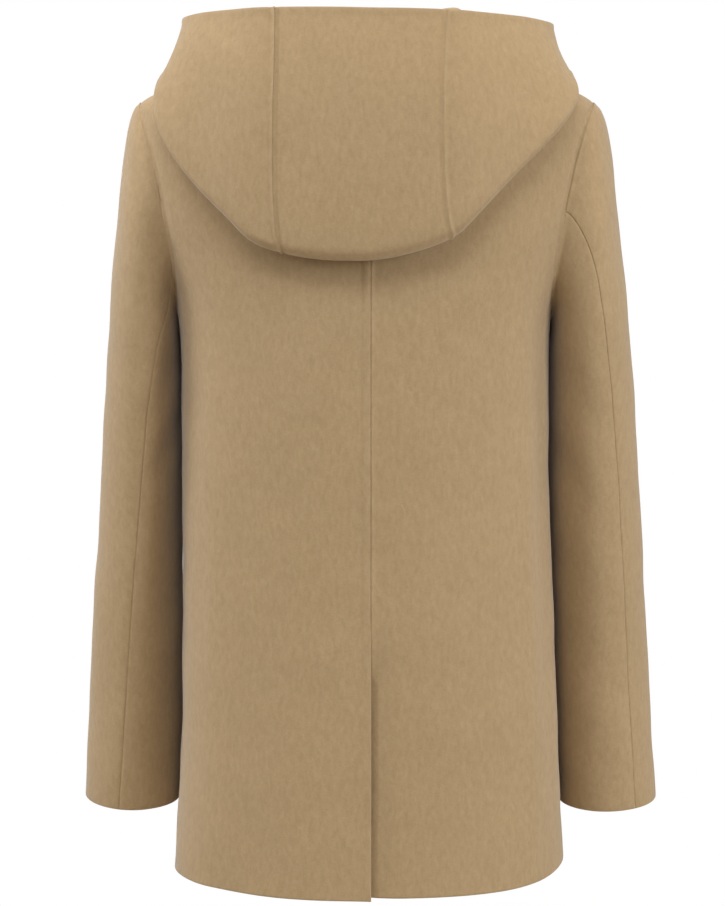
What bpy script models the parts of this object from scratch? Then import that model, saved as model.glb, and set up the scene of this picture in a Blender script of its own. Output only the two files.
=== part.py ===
"""A hooded wool overshirt, cut like a short coat, worn and hollow.

The wearer faces -Y and the wearer's left is +X. The origin is in the middle of the neck, level with the
points where the shoulder seams meet the neckline. Each piece of cloth is one closed wall.
"""
import math

import bpy
import numpy as np

# ---- Driving sizes, in metres ---------------------------------------------------------------------
CLOTH = 0.003                 # thickness of the double-faced wool
SEAM_GAP = 0.0003             # gap between two pieces at a seam
SEAM_SETBACK = 0.6 * SEAM_GAP # distance of each piece's edge from a sleeve seam's line
ARMHOLE_GAP = 0.0004          # gap between a sleeve's start and the armhole, sideways
LAP_GAP = 0.0006              # gap between two layers that lie on each other

HEM_Z = -0.7355               # mean height of the hem
ARMPIT_Z = -0.240             # lowest point of the armhole
SHOULDER_Z = -0.048           # outer end of the shoulder seam
NECK_HALF = 0.078             # half the neck's width at the shoulder seams
NECK_BACK = 0.070             # depth of the neck behind the origin
NECK_FRONT = 0.086            # depth of the neck before the origin
TORSO_ROUND = 2.5             # exponent of the torso's rounded section

BACK_SEAM_X = -0.002          # the centre back seam hangs a little to the wearer's right
VENT_TOP_Z = -0.545           # top of the vent in the back seam
VENT_UNDERLAP = 0.040         # width of the right back's hidden extension
VENT_FLAT = 0.003             # beside the seam the right back stays fully behind over this stretch
VENT_RAMP = 0.022             # and rises to the torso's surface over this one
VENT_FADE = 0.050             # height above the vent over which it comes back to the surface at the seam
FRONT_OVERLAP = 0.022         # each front passes the centre by this much
FRONT_RAMP_START = 0.032      # distance from the centre where the right front has risen onto the left
FRONT_RAMP = 0.022            # stretch over which it rises

CUFF_Z = {1: -0.6757, -1: -0.6768}   # mean height of the left and right sleeve's lower edge
CUFF_TILT = 0.006             # the cuff hangs lower behind and higher in front by this much
CUFF_SLOPE = 0.0018           # and higher at its outer side
SLEEVE_CLEARANCE = 0.0010     # gap between a hanging sleeve and the body
SLEEVE_CROWDING = 1.6         # exponent that sets a sleeve's rows closer near the armhole
HEAD_DROP = 0.060             # height over which the sleeve head rounds down at the shoulder
SIDE_DROP = 0.095             # the same at the front and back of the armhole

HOOD_FOLD = 0.012             # outer radius of the fold at the bottom of the lying hood
HOOD_REST = 0.0022            # gap between the hood's lower layer and the back
HOOD_SHIFT = 0.0080           # the hood's back lies a little to the wearer's left
HOOD_TILT = 0.035             # and the left side of its fold hangs lower, as a slope
HOOD_EDGE_TILT = 0.0137       # while the left side of its free edge stands higher
HOOD_BEHIND = (-0.02, 0.10)   # these apply from this place in y, and fully after this stretch
HOOD_HIGH = (-0.12, 0.07)     # the shift fades out at the sides from this height over this stretch
HOOD_WIDE = (0.08, 0.11)      # and from this distance from the centre over this stretch
HOOD_LOW = (-0.045, 0.06)     # the fold's tilt grows from this height down over this stretch
HOOD_START = (0.0007, 0.0004) # the hood begins this far inside the neckline and this far above it

BUTTON_RADIUS = 0.0115
BUTTON_THICK = 0.0036
BUTTON_BEVEL = 0.0015
BUTTON_HOLE = 0.0013
BUTTON_HOLE_RING = 0.0030     # radius of the ring that the four holes sit on
BUTTON_TOP_Z = -0.101
BUTTON_STEP = 0.119
BUTTON_COUNT = 5

# Half-widths and depths of the torso at each height. Above the armpit the half-widths run on under the
# sleeves, where only the stretch inside the armhole is cut.
TORSO_COLUMNS = ("z", "half_left", "half_right", "back", "front")
TORSO = (
    (0.000, 0.0780, 0.0780, 0.060, 0.050),
    (-0.012, 0.1115, 0.1115, 0.070, 0.057),
    (-0.024, 0.1465, 0.1460, 0.079, 0.064),
    (-0.036, 0.1800, 0.1785, 0.087, 0.070),
    (-0.048, 0.2030, 0.2005, 0.094, 0.0765),
    (-0.062, 0.2100, 0.2050, 0.101, 0.083),
    (-0.080, 0.2105, 0.2045, 0.108, 0.091),
    (-0.100, 0.2085, 0.2010, 0.1145, 0.099),
    (-0.121, 0.2060, 0.1975, 0.119, 0.106),
    (-0.144, 0.2010, 0.1920, 0.123, 0.113),
    (-0.183, 0.1860, 0.1780, 0.1275, 0.122),
    (-0.215, 0.1750, 0.1675, 0.1285, 0.127),
    (-0.240, 0.1700, 0.1630, 0.1285, 0.129),
    (-0.300, 0.1675, 0.1612, 0.1280, 0.130),
    (-0.400, 0.1670, 0.1620, 0.1280, 0.130),
    (-0.500, 0.1670, 0.1658, 0.1295, 0.130),
    (-0.600, 0.1680, 0.1695, 0.1325, 0.131),
    (-0.740, 0.1755, 0.1765, 0.1380, 0.135),
)

# How much higher than level the hem hangs at each turn from the centre back to the centre front.
HEM_COLUMNS = ("turn", "left", "right")
HEM = (
    (0.0, -0.0035, -0.0010),
    (22.0, -0.0018, -0.0004),
    (45.0, 0.0012, 0.0020),
    (55.0, 0.0018, 0.0040),
    (66.0, 0.0030, 0.0072),
    (78.0, 0.0030, 0.0115),
    (90.0, 0.0022, 0.0130),
    (120.0, 0.0008, 0.0060),
    (150.0, -0.0012, 0.0005),
    (180.0, -0.0022, -0.0022),
)

# Distance of the armhole seam from the centre at each height, behind and in front.
ARMHOLE_COLUMNS = ("z", "back_left", "back_right", "front_left", "front_right")
ARMHOLE = (
    (-0.048, 0.2030, 0.2005, 0.2030, 0.2005),
    (-0.062, 0.2000, 0.1940, 0.1965, 0.1925),
    (-0.080, 0.1948, 0.1872, 0.1890, 0.1845),
    (-0.100, 0.1888, 0.1812, 0.1820, 0.1770),
    (-0.121, 0.1838, 0.1760, 0.1765, 0.1710),
    (-0.144, 0.1798, 0.1713, 0.1725, 0.1665),
    (-0.183, 0.1728, 0.1650, 0.1690, 0.1625),
    (-0.215, 0.1702, 0.1622, 0.1690, 0.1617),
    (-0.240, 0.1700, 0.1630, 0.1700, 0.1630),
)

# Sections of the sleeves: outer side, half depth and how far the middle sits behind the origin.
SLEEVE_COLUMNS = ("z", "outer_left", "outer_right", "half_depth", "middle_y")
SLEEVE = (
    (-0.040, 0.2170, 0.2155, 0.0700, -0.004),
    (-0.106, 0.2205, 0.2195, 0.0725, -0.004),
    (-0.151, 0.2250, 0.2237, 0.0740, -0.005),
    (-0.223, 0.2309, 0.2318, 0.0740, -0.006),
    (-0.313, 0.2370, 0.2393, 0.0675, -0.009),
    (-0.403, 0.2425, 0.2455, 0.0610, -0.014),
    (-0.493, 0.2492, 0.2512, 0.0565, -0.019),
    (-0.583, 0.2545, 0.2568, 0.0525, -0.024),
    (-0.690, 0.2595, 0.2640, 0.0490, -0.030),
)

# Where the two seams of a sleeve run, as degrees round the sleeve from its outer side towards the back,
# at each part of the way from the armhole to the cuff.
SLEEVE_SEAM_COLUMNS = ("way", "back_left", "back_right", "front")
SLEEVE_SEAM = (
    (0.00, 119.0, 92.0, 222.0),
    (0.06, 133.0, 92.5, 225.0),
    (0.15, 134.0, 90.5, 230.0),
    (0.30, 120.0, 83.0, 234.0),
    (0.50, 103.0, 70.0, 236.0),
    (0.75, 88.0, 62.0, 236.0),
    (1.00, 78.0, 60.0, 236.0),
)

# The lying hood, station by station from the centre back round to the front end. neck: degrees round the
# neckline. fold_turn, fold_z: where the lower layer ends on the torso. fold, stand: shares of the full fold
# and stand. edge: the free edge, which frames the face when the hood is up. bulge: how far the upper
# layer's middle stands out.
HOOD_COLUMNS = ("neck", "fold_turn", "fold_z", "fold", "stand", "edge_x", "edge_y", "edge_z", "bulge")
HOOD = (
    (0.0, 0.0, -0.181, 1.00, 1.00, 0.0000, 0.1290, 0.0236, 0.009),
    (44.8, 17.3, -0.168, 1.00, 1.00, 0.0735, 0.1230, 0.0234, 0.009),
    (58.0, 25.5, -0.143, 1.00, 1.00, 0.1060, 0.1080, 0.0230, 0.009),
    (69.0, 39.0, -0.092, 1.00, 1.00, 0.1370, 0.0830, 0.0225, 0.005),
    (78.0, 50.0, -0.055, 0.80, 1.00, 0.1575, 0.0560, 0.0217, -0.001),
    (86.0, 61.5, -0.040, 0.66, 1.00, 0.1630, 0.0340, 0.0215, -0.003),
    (96.0, 84.0, -0.033, 0.60, 1.00, 0.1615, 0.0070, 0.0205, -0.003),
    (110.0, 112.0, -0.033, 0.62, 1.00, 0.1480, -0.0300, 0.0150, 0.000),
    (126.0, 145.0, -0.044, 0.68, 0.95, 0.1180, -0.0620, 0.0010, 0.005),
    (142.0, 163.0, -0.062, 0.68, 0.80, 0.0800, -0.0850, -0.0240, 0.006),
    (156.0, 170.5, -0.080, 0.64, 0.60, 0.0530, -0.0990, -0.0550, 0.004),
)
# The stations where the centre strip meets the side pieces, at each share of the profile.
STRIP_SEAM_COLUMNS = ("share", "left", "right")
STRIP_SEAM = (
    (0.00, 0.970, 1.000),
    (0.35, 0.920, 1.050),
    (0.55, 0.840, 1.130),
    (0.65, 0.790, 1.170),
    (0.70, 0.775, 1.150),
    (0.75, 0.800, 1.095),
    (0.80, 0.840, 1.010),
    (0.87, 0.870, 0.945),
    (0.95, 0.910, 0.965),
    (1.00, 0.970, 1.020),
)
STATION_SETBACK = 0.0045      # distance of each piece's edge from these, as a share of a station
STAND_HEIGHT = 0.027          # how far the hood rises above the neck seam before it rolls over
STAND_LEAN = 0.016            # how far it has moved out there
STAND_BEND = (0.60, 0.25)     # shares of that height and lean halfway through the roll
HOOD_SLACK = ((0.55, 0.007), (0.80, 0.003))   # share of the lower layer's way and its extra lift there
HOOD_LOOK_BACK = 0.02         # share of the way over which the lower layer's direction is taken
BULGE_UP = 0.3                # how much of the fold's upward direction the upper layer's bulge keeps
HOOD_SAMPLES = 160            # points on each profile from which the hood's surface is read

BISECTIONS = 40               # halvings when a place on the torso is searched
NECK_LOWEST = -0.15           # the neckline is searched between this height and 0
REACH_LIMIT = 0.4             # the torso's surface is searched within this distance
FAN_START_Z = -0.384          # from this height up the rows of the body bend to the neckline
SHARP_ANGLE = 40.0            # degrees from which an edge is shaded sharp

# How finely each piece is divided.
VENT_ROWS = 5                 # hem to the top of the vent
SIDE_ROWS = 8                 # on to the armpit
SHOULDER_ROWS = 6
BODY_COLUMNS = 12
LAP_COLUMNS = 4
ROW_SAMPLES = 240             # points on each row from which the even ones are read
ARMHOLE_STEPS = (7, 4, 3, 8)  # shoulder to back seam, to armpit, to front seam, to shoulder
SLEEVE_ROWS = 18
HOOD_ROWS = 30
STRIP_COLUMNS = 8
HOOD_SIDE_COLUMNS = 14
BUTTON_SIDES = 24
HOLE_SIDES = 8

CAMEL = (0.392, 0.285, 0.165)
CLOTH_ROUGHNESS = 0.9
CLOTH_SHEEN = 0.3
HORN = (0.105, 0.060, 0.030)
HORN_ROUGHNESS = 0.35


# ---- Curves ---------------------------------------------------------------------------------------
def spline(knots, values):
    """A smooth curve through the values at the knots, as a function; values may be points."""
    knots = np.asarray(knots, float)
    values = np.asarray(values, float)
    if knots[0] > knots[-1]:
        knots, values = knots[::-1], values[::-1]
    count = len(knots)
    step = np.diff(knots)
    flat = values.reshape(count, -1)
    slope = np.diff(flat, axis=0) / step[:, None]
    matrix = np.eye(count)
    right = np.zeros_like(flat)
    for i in range(1, count - 1):
        matrix[i, i - 1:i + 2] = step[i - 1], 2.0 * (step[i - 1] + step[i]), step[i]
        right[i] = 6.0 * (slope[i] - slope[i - 1])
    bend = np.linalg.solve(matrix, right)

    def at(x):
        x = np.asarray(x, float)
        i = np.clip(np.searchsorted(knots, x) - 1, 0, count - 2)
        h = step[i][..., None]
        a = (knots[i + 1] - x)[..., None] / h
        b = 1.0 - a
        out = a * flat[i] + b * flat[i + 1]
        out = out + ((a ** 3 - a) * bend[i] + (b ** 3 - b) * bend[i + 1]) * h * h / 6.0
        return out.reshape(x.shape + values.shape[1:])

    return at


def columns(names, table, *wanted):
    """The wanted columns of a table, as arrays."""
    rows = np.array(table, float)
    return [rows[:, names.index(name)] for name in wanted]


def table_curve(names, table, column):
    """A column of a table as a smooth function of the table's first column."""
    return spline(*columns(names, table, names[0], column))


def ease(x):
    """0 to 1 with level ends."""
    x = np.clip(x, 0.0, 1.0)
    return x * x * (3.0 - 2.0 * x)


def unit(vectors):
    return vectors / np.linalg.norm(vectors, axis=-1, keepdims=True)


def side_name(side):
    return "left" if side > 0 else "right"


# ---- The torso surface ----------------------------------------------------------------------------
HALF = {side: table_curve(TORSO_COLUMNS, TORSO, "half_" + side_name(side)) for side in (1, -1)}
BACK_DEPTH = table_curve(TORSO_COLUMNS, TORSO, "back")
FRONT_DEPTH = table_curve(TORSO_COLUMNS, TORSO, "front")
ARMHOLE_X = {(face, side): table_curve(ARMHOLE_COLUMNS, ARMHOLE, face + "_" + side_name(side))
             for face in ("back", "front") for side in (1, -1)}

SLEEVE_BACK_SEAM = {side: table_curve(SLEEVE_SEAM_COLUMNS, SLEEVE_SEAM, "back_" + side_name(side))
                    for side in (1, -1)}
SLEEVE_FRONT_SEAM = table_curve(SLEEVE_SEAM_COLUMNS, SLEEVE_SEAM, "front")
HEM_LIFT = {side: table_curve(HEM_COLUMNS, HEM, side_name(side)) for side in (1, -1)}


def signed_power(x, power):
    return np.sign(x) * np.abs(x) ** power


def torso(side, turn, z):
    """The torso's outer surface. turn is in degrees, from 0 at the centre back to 180 at the centre front.

    A negative turn passes the centre onto the other side.
    """
    turn, z = np.radians(turn), np.asarray(z, float)
    sine, cosine = np.sin(turn), np.cos(turn)
    half = np.where(sine >= 0.0, HALF[side](z), HALF[-side](z))
    depth = np.where(cosine >= 0.0, BACK_DEPTH(z), FRONT_DEPTH(z))
    x = side * half * signed_power(sine, 2.0 / TORSO_ROUND)
    y = depth * signed_power(cosine, 2.0 / TORSO_ROUND)
    return np.stack(np.broadcast_arrays(x, y, z), axis=-1)


def torso_normal(side, turn, z):
    """The outward direction of the torso's surface."""
    small = 1e-5
    turn_rad, z = np.radians(turn), np.asarray(z, float)
    sine, cosine = np.sin(turn_rad), np.cos(turn_rad)

    def half(height):
        return np.where(sine >= 0.0, HALF[side](height), HALF[-side](height))

    def depth(height):
        return np.where(cosine >= 0.0, BACK_DEPTH(height), FRONT_DEPTH(height))

    across = np.abs(sine) ** (2.0 / TORSO_ROUND)
    along = np.abs(cosine) ** (2.0 / TORSO_ROUND)
    half_rate = (half(z + small) - half(z - small)) / (2.0 * small)
    depth_rate = (depth(z + small) - depth(z - small)) / (2.0 * small)
    power = TORSO_ROUND - 1.0
    x = across ** power / half(z)
    y = along ** power / depth(z)
    up = -(across ** TORSO_ROUND * half_rate / half(z) + along ** TORSO_ROUND * depth_rate / depth(z))
    return unit(np.stack(np.broadcast_arrays(side * np.sign(sine) * x, np.sign(cosine) * y, up), axis=-1))


def turn_at_x(side, x, z):
    """The turn of the torso's point at the distance x from the centre, on the back half."""
    half = np.where(np.asarray(x) >= 0.0, HALF[side](z), HALF[-side](z))
    return np.degrees(np.arcsin(np.clip(signed_power(np.asarray(x) / half, TORSO_ROUND / 2.0), -1.0, 1.0)))


def turn_at_y(y, z):
    """The turn of the torso's point at the distance y behind the origin."""
    depth = np.where(np.asarray(y) >= 0.0, BACK_DEPTH(z), FRONT_DEPTH(z))
    return np.degrees(np.arccos(np.clip(signed_power(np.asarray(y) / depth, TORSO_ROUND / 2.0), -1.0, 1.0)))


def neck_z(turn):
    """Height of the neckline at a turn: where the torso meets an upright neck with an oval section."""
    low, high = np.full(np.shape(turn), NECK_LOWEST), np.zeros(np.shape(turn))
    for _ in range(BISECTIONS):
        middle = 0.5 * (low + high)
        point = torso(1, turn, middle)
        neck_depth = np.where(point[..., 1] >= 0.0, NECK_BACK, NECK_FRONT)
        outside = (point[..., 0] / NECK_HALF) ** 2 + (point[..., 1] / neck_depth) ** 2 > 1.0
        low, high = np.where(outside, middle, low), np.where(outside, high, middle)
    return 0.5 * (low + high)


# ---- Walls ----------------------------------------------------------------------------------------
def wall(name, outer, normals, cells=None):
    """One closed wall from a grid of outer points, thickened inward. cells masks the grid's cells."""
    rows, cols = outer.shape[:2]
    cells = np.ones((rows - 1, cols - 1), bool) if cells is None else cells
    inner = outer - CLOTH * normals
    used = np.zeros((rows, cols), bool)
    for i, j in zip(*np.nonzero(cells)):
        used[i:i + 2, j:j + 2] = True
    number = -np.ones((rows, cols), int)
    number[used] = np.arange(used.sum())
    count = int(used.sum())
    points = np.concatenate([outer[used], inner[used]])
    faces = []
    for i, j in zip(*np.nonzero(cells)):
        a, b, c, d = number[i, j], number[i, j + 1], number[i + 1, j + 1], number[i + 1, j]
        if np.linalg.norm(points[a] - points[c]) < np.linalg.norm(points[b] - points[d]):
            halves = (a, b, c), (a, c, d)
        else:
            halves = (a, b, d), (b, c, d)
        for half in halves:
            faces.append(half)
            faces.append(tuple(k + count for k in half[::-1]))
        for di, dj, p, q in ((-1, 0, a, b), (0, 1, b, c), (1, 0, c, d), (0, -1, d, a)):
            ni, nj = i + di, j + dj
            if not (0 <= ni < rows - 1 and 0 <= nj < cols - 1 and cells[ni, nj]):
                faces.append((q, p, p + count, q + count))
    middle = np.mean([outer[i, j] for i, j in zip(*np.nonzero(cells))], axis=0)
    i, j = [index[len(index) // 2] for index in np.nonzero(cells)]
    side_a, side_b = outer[i, j + 1] - outer[i, j], outer[i + 1, j] - outer[i, j]
    if np.dot(np.cross(side_a, side_b), normals[i, j]) < 0.0:
        faces = [face[::-1] for face in faces]
    return add_mesh(name, points, faces, make_material(name, CAMEL, CLOTH_ROUGHNESS, CLOTH_SHEEN), middle)


def add_mesh(name, points, faces, material, middle):
    """A mesh object whose own origin is at middle."""
    mesh = bpy.data.meshes.new(name)
    mesh.from_pydata([tuple(point) for point in points - middle], [], faces)
    mesh.materials.append(material)
    mesh.shade_smooth()
    mesh.set_sharp_from_angle(angle=math.radians(SHARP_ANGLE))
    mesh.update()
    piece = bpy.data.objects.new(name, mesh)
    piece.location = tuple(middle)
    bpy.context.scene.collection.objects.link(piece)
    return piece


def make_material(name, colour, roughness, sheen=0.0):
    material = bpy.data.materials.new(name)
    material.use_nodes = True
    shader = material.node_tree.nodes["Principled BSDF"]
    shader.inputs["Base Color"].default_value = (*colour, 1.0)
    shader.inputs["Roughness"].default_value = roughness
    shader.inputs["Metallic"].default_value = 0.0
    shader.inputs["Sheen Weight"].default_value = sheen
    material.diffuse_color = (*colour, 1.0)
    return material


# ---- Body -----------------------------------------------------------------------------------------
def armhole_z(turn):
    """Height of the armhole seam at a turn round the sleeve: 0 outer, 90 back, 180 armpit, 270 front."""
    return 0.5 * (SHOULDER_Z + ARMPIT_Z) + 0.5 * (SHOULDER_Z - ARMPIT_Z) * np.cos(np.radians(turn))


def armhole_turns(side, face):
    """Turns round the sleeve at the armhole's points, from the shoulder to the armpit."""
    to_seam, to_pit, from_pit, to_shoulder = ARMHOLE_STEPS
    if face == "back":
        seam = float(SLEEVE_BACK_SEAM[side](0.0))
        return np.concatenate([np.linspace(0.0, seam, to_seam + 1), np.linspace(seam, 180.0, to_pit + 1)[1:]])
    seam = float(SLEEVE_FRONT_SEAM(0.0))
    return np.concatenate([np.linspace(360.0, seam, to_shoulder + 1),
                           np.linspace(seam, 180.0, from_pit + 1)[1:]])


def body_edge(side, face):
    """The outer edge of a body panel from hem to neck: side seam, armhole and shoulder seam.

    Gives the turn and height of each point, and the height of its row at the centre.
    """
    low = np.concatenate([
        np.linspace(HEM_Z, VENT_TOP_Z, VENT_ROWS + 1)[:-1],
        np.linspace(VENT_TOP_Z, ARMPIT_Z, SIDE_ROWS + 1)[:-1],
    ])
    hole = armhole_z(armhole_turns(side, face))[::-1]
    top = np.linspace(SHOULDER_Z, 0.0, SHOULDER_ROWS + 1)[1:]
    z = np.concatenate([low, hole, top])
    level = np.concatenate([low, np.linspace(ARMPIT_Z, SHOULDER_Z, len(hole)), top])
    sign = 1.0 if face == "back" else -1.0
    turn = turn_at_y(sign * SEAM_GAP / 2.0, z)
    in_hole = (z > ARMPIT_Z + 1e-6) & (z < SHOULDER_Z - 1e-6)
    hole_turn = turn_at_x(side, ARMHOLE_X[face, side](z[in_hole]), z[in_hole])
    turn[in_hole] = hole_turn if face == "back" else 180.0 - hole_turn
    return turn, z, level


def body_row(side, centre_x, edge_turn, edge_z, level, face, count):
    """Turns and heights of one row of a body panel, evenly spaced from the centre edge to the outer edge.

    Above the armpit the rows fan out towards the centre and bend to the neckline.
    """
    share = np.linspace(0.0, 1.0, ROW_SAMPLES + 1)
    blend = ease((level - FAN_START_Z) / -FAN_START_Z)
    start_z = level
    for _ in range(6):
        start = float(turn_at_x(side, centre_x, start_z))
        start = start if face == "back" else 180.0 - start
        start_z = level + float(neck_z(np.array(start))) * blend
    turn = start + (edge_turn - start) * share
    z = level + (edge_z - level) * share ** 2 + (neck_z(turn) - neck_z(np.array(edge_turn)) * share) * blend
    path = torso(side, turn, z)
    length = np.concatenate([[0.0], np.cumsum(np.linalg.norm(np.diff(path, axis=0), axis=1))])
    even = np.linspace(0.0, length[-1], count + 1)
    return np.interp(even, length, turn), np.interp(even, length, z)


def body_grid(side, face, centre_x):
    """Turns and heights of a whole body panel; centre_x gives the centre edge's place in each row."""
    rows = [body_row(side, centre_x, *point, face, BODY_COLUMNS) for point in zip(*body_edge(side, face))]
    turn, z = np.array([row[0] for row in rows]), np.array([row[1] for row in rows])
    return turn, z + hem_lift(side, turn, z)


def hem_lift(side, turn, z):
    """How much higher the cloth hangs than a level hem, fading out above it."""
    return HEM_LIFT[side](np.clip(turn, 0.0, 180.0)) * ease((VENT_TOP_Z - z) / (VENT_TOP_Z - HEM_Z))


def make_back(side):
    """A back panel. The right one runs on behind the left one below the top of the vent."""
    seam = side * BACK_SEAM_X + SEAM_GAP / 2.0
    turn, z = body_grid(side, "back", seam)
    if side > 0:
        return wall("back_left", torso(side, turn, z), torso_normal(side, turn, z))
    lap_x = seam - np.linspace(VENT_UNDERLAP, 0.0, LAP_COLUMNS + 1)[:-1]
    lap_z = np.repeat(z[:, :1], LAP_COLUMNS, axis=1)
    lap_turn = turn_at_x(side, lap_x[None, :], lap_z)
    turn, z = np.concatenate([lap_turn, turn], axis=1), np.concatenate([lap_z, z], axis=1)
    outer, normals = torso(side, turn, z), torso_normal(side, turn, z)
    from_seam = side * outer[..., 0] - seam
    below = 1.0 - ease((z - VENT_TOP_Z) / VENT_FADE)
    drop = (CLOTH + LAP_GAP) * (1.0 - ease((from_seam - VENT_FLAT) / VENT_RAMP)) * below
    cells = np.ones((z.shape[0] - 1, z.shape[1] - 1), bool)
    cells[:, :LAP_COLUMNS] = z[1:, :LAP_COLUMNS] < VENT_TOP_Z + 1e-6
    return wall("back_right", outer - drop[..., None] * normals, normals, cells)


def make_front(side):
    """A front panel. The right one lies on the left one where they pass the centre."""
    turn, z = body_grid(side, "front", -FRONT_OVERLAP)
    outer, normals = torso(side, turn, z), torso_normal(side, turn, z)
    if side < 0:
        rise = (CLOTH + LAP_GAP) * (1.0 - ease((side * outer[..., 0] - FRONT_RAMP_START) / FRONT_RAMP))
        outer = outer + rise[..., None] * normals
    return wall("front_" + side_name(side), outer, normals)


# ---- Sleeves --------------------------------------------------------------------------------------
SLEEVE_OUTER = {side: table_curve(SLEEVE_COLUMNS, SLEEVE, "outer_" + side_name(side)) for side in (1, -1)}
SLEEVE_DEPTH = table_curve(SLEEVE_COLUMNS, SLEEVE, "half_depth")
SLEEVE_MIDDLE = table_curve(SLEEVE_COLUMNS, SLEEVE, "middle_y")


def armhole_point(side, turn):
    """The point of the sleeve's start at a turn round the sleeve."""
    angle = np.radians(turn)
    z = armhole_z(turn)
    behind = np.sin(angle) >= 0.0
    x = np.where(behind, ARMHOLE_X["back", side](z), ARMHOLE_X["front", side](z))
    x = np.minimum(x, HALF[side](z))
    depth = np.where(behind, BACK_DEPTH(z), FRONT_DEPTH(z))
    y = depth * np.clip(1.0 - (x / HALF[side](z)) ** TORSO_ROUND, 0.0, 1.0) ** (1.0 / TORSO_ROUND)
    return side * (x + ARMHOLE_GAP), np.where(behind, y, -y), z


def sleeve(side, turn, way):
    """The sleeve's outer surface; way runs from 0 at the armhole to 1 at the cuff."""
    turn, way = np.broadcast_arrays(np.asarray(turn, float), np.asarray(way, float))
    angle = np.radians(turn)
    start_x, start_y, start_z = armhole_point(side, turn)
    end_z = CUFF_Z[side] - CUFF_TILT * np.sin(angle) + CUFF_SLOPE * np.cos(angle)
    z = start_z + (end_z - start_z) * way ** SLEEVE_CROWDING
    inner = HALF[side](np.minimum(z, ARMPIT_Z)) + SLEEVE_CLEARANCE
    outer = SLEEVE_OUTER[side](z)
    middle, half = 0.5 * (outer + inner), 0.5 * (outer - inner)
    ring_x = side * (middle + half * np.cos(angle))
    ring_y = SLEEVE_MIDDLE(z) + SLEEVE_DEPTH(z) * np.sin(angle)
    drop = HEAD_DROP + (SIDE_DROP - HEAD_DROP) * 0.5 * (1.0 - np.cos(angle))
    fall = np.clip((start_z - z) / drop, 0.0, 1.0)
    reach = np.sqrt(1.0 - (1.0 - fall) ** 2)
    return np.stack([start_x + (ring_x - start_x) * reach, start_y + (ring_y - start_y) * reach, z], axis=-1)


def sleeve_normal(side, turn, way):
    step_turn, step_way = 0.2, 0.002
    low, high = np.clip(way - step_way, 0.0, 1.0), np.clip(way + step_way, 0.0, 1.0)
    round_it = sleeve(side, turn + step_turn, way) - sleeve(side, turn - step_turn, way)
    down_it = sleeve(side, turn, high) - sleeve(side, turn, low)
    return unit(side * np.cross(down_it, round_it))


def sleeve_panel(name, side, first_seam, middle, last_seam, counts):
    """A sleeve piece between two seams, each a function of the way down, with a straight column between."""
    way = np.linspace(0.0, 1.0, SLEEVE_ROWS + 1)[:, None]
    first, last = first_seam(way), last_seam(way)
    for edge, sign in ((first, 1.0), (last, -1.0)):
        degree = sleeve(side, edge + 0.5, way) - sleeve(side, edge - 0.5, way)
        seam_way = unit(np.gradient(sleeve(side, edge, way)[:, 0], axis=0))[:, None]
        speed = np.linalg.norm(np.cross(degree, seam_way), axis=-1)
        edge += sign * SEAM_SETBACK / np.maximum(speed, 1e-4)
    share = [np.linspace(0.0, 1.0, count + 1)[None, :] for count in counts]
    turn = np.concatenate([first + (middle - first) * share[0], (middle + (last - middle) * share[1])[:, 1:]],
                          axis=1)
    way = np.broadcast_to(way, turn.shape)
    return wall(name, sleeve(side, turn, way), sleeve_normal(side, turn, way))


def make_sleeve(side):
    back, front = SLEEVE_BACK_SEAM[side], SLEEVE_FRONT_SEAM
    name = "sleeve_" + side_name(side)
    to_seam, to_pit, from_pit, to_shoulder = ARMHOLE_STEPS
    sleeve_panel(name + "_top", side, lambda way: front(way) - 360.0, 0.0, back, (to_shoulder, to_seam))
    sleeve_panel(name + "_under", side, back, 180.0, front, (to_pit, from_pit))


# ---- Hood -----------------------------------------------------------------------------------------
def torso_reach(side, start, direction, z):
    """Distance from start, along a level direction, to the torso's surface at the height z."""
    low, high = 0.0, REACH_LIMIT
    for _ in range(BISECTIONS):
        middle = 0.5 * (low + high)
        x, y = start[:2] + middle * direction[:2]
        half = HALF[side](z) if side * x >= 0.0 else HALF[-side](z)
        depth = BACK_DEPTH(z) if y >= 0.0 else FRONT_DEPTH(z)
        inside = (abs(x) / half) ** TORSO_ROUND + (abs(y) / depth) ** TORSO_ROUND < 1.0
        low, high = (middle, high) if inside else (low, middle)
    return low


def neck_point(side, angle):
    """The neckline's point at an angle in degrees from the centre back, and the level way out of the neck."""
    angle = np.radians(angle)
    depth = NECK_BACK if np.cos(angle) >= 0.0 else NECK_FRONT
    out = np.array([side * NECK_HALF * np.sin(angle), depth * np.cos(angle), 0.0])
    low, high = NECK_LOWEST, 0.0
    for _ in range(BISECTIONS):
        z = 0.5 * (low + high)
        if torso_reach(side, np.zeros(3), unit(out), z) > np.linalg.norm(out):
            low = z
        else:
            high = z
    return out + np.array([0.0, 0.0, z]), unit(out)


def grown(value, start_and_stretch):
    """0 before the start and 1 after the stretch."""
    start, stretch = start_and_stretch
    return ease((value - start) / stretch)


def hood_shift(point):
    """How far a point of the lying hood has slid to the wearer's left."""
    fade = grown(abs(point[0]), HOOD_WIDE) * grown(point[2], HOOD_HIGH)
    return HOOD_SHIFT * grown(point[1], HOOD_BEHIND) * (1.0 - fade)


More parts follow.
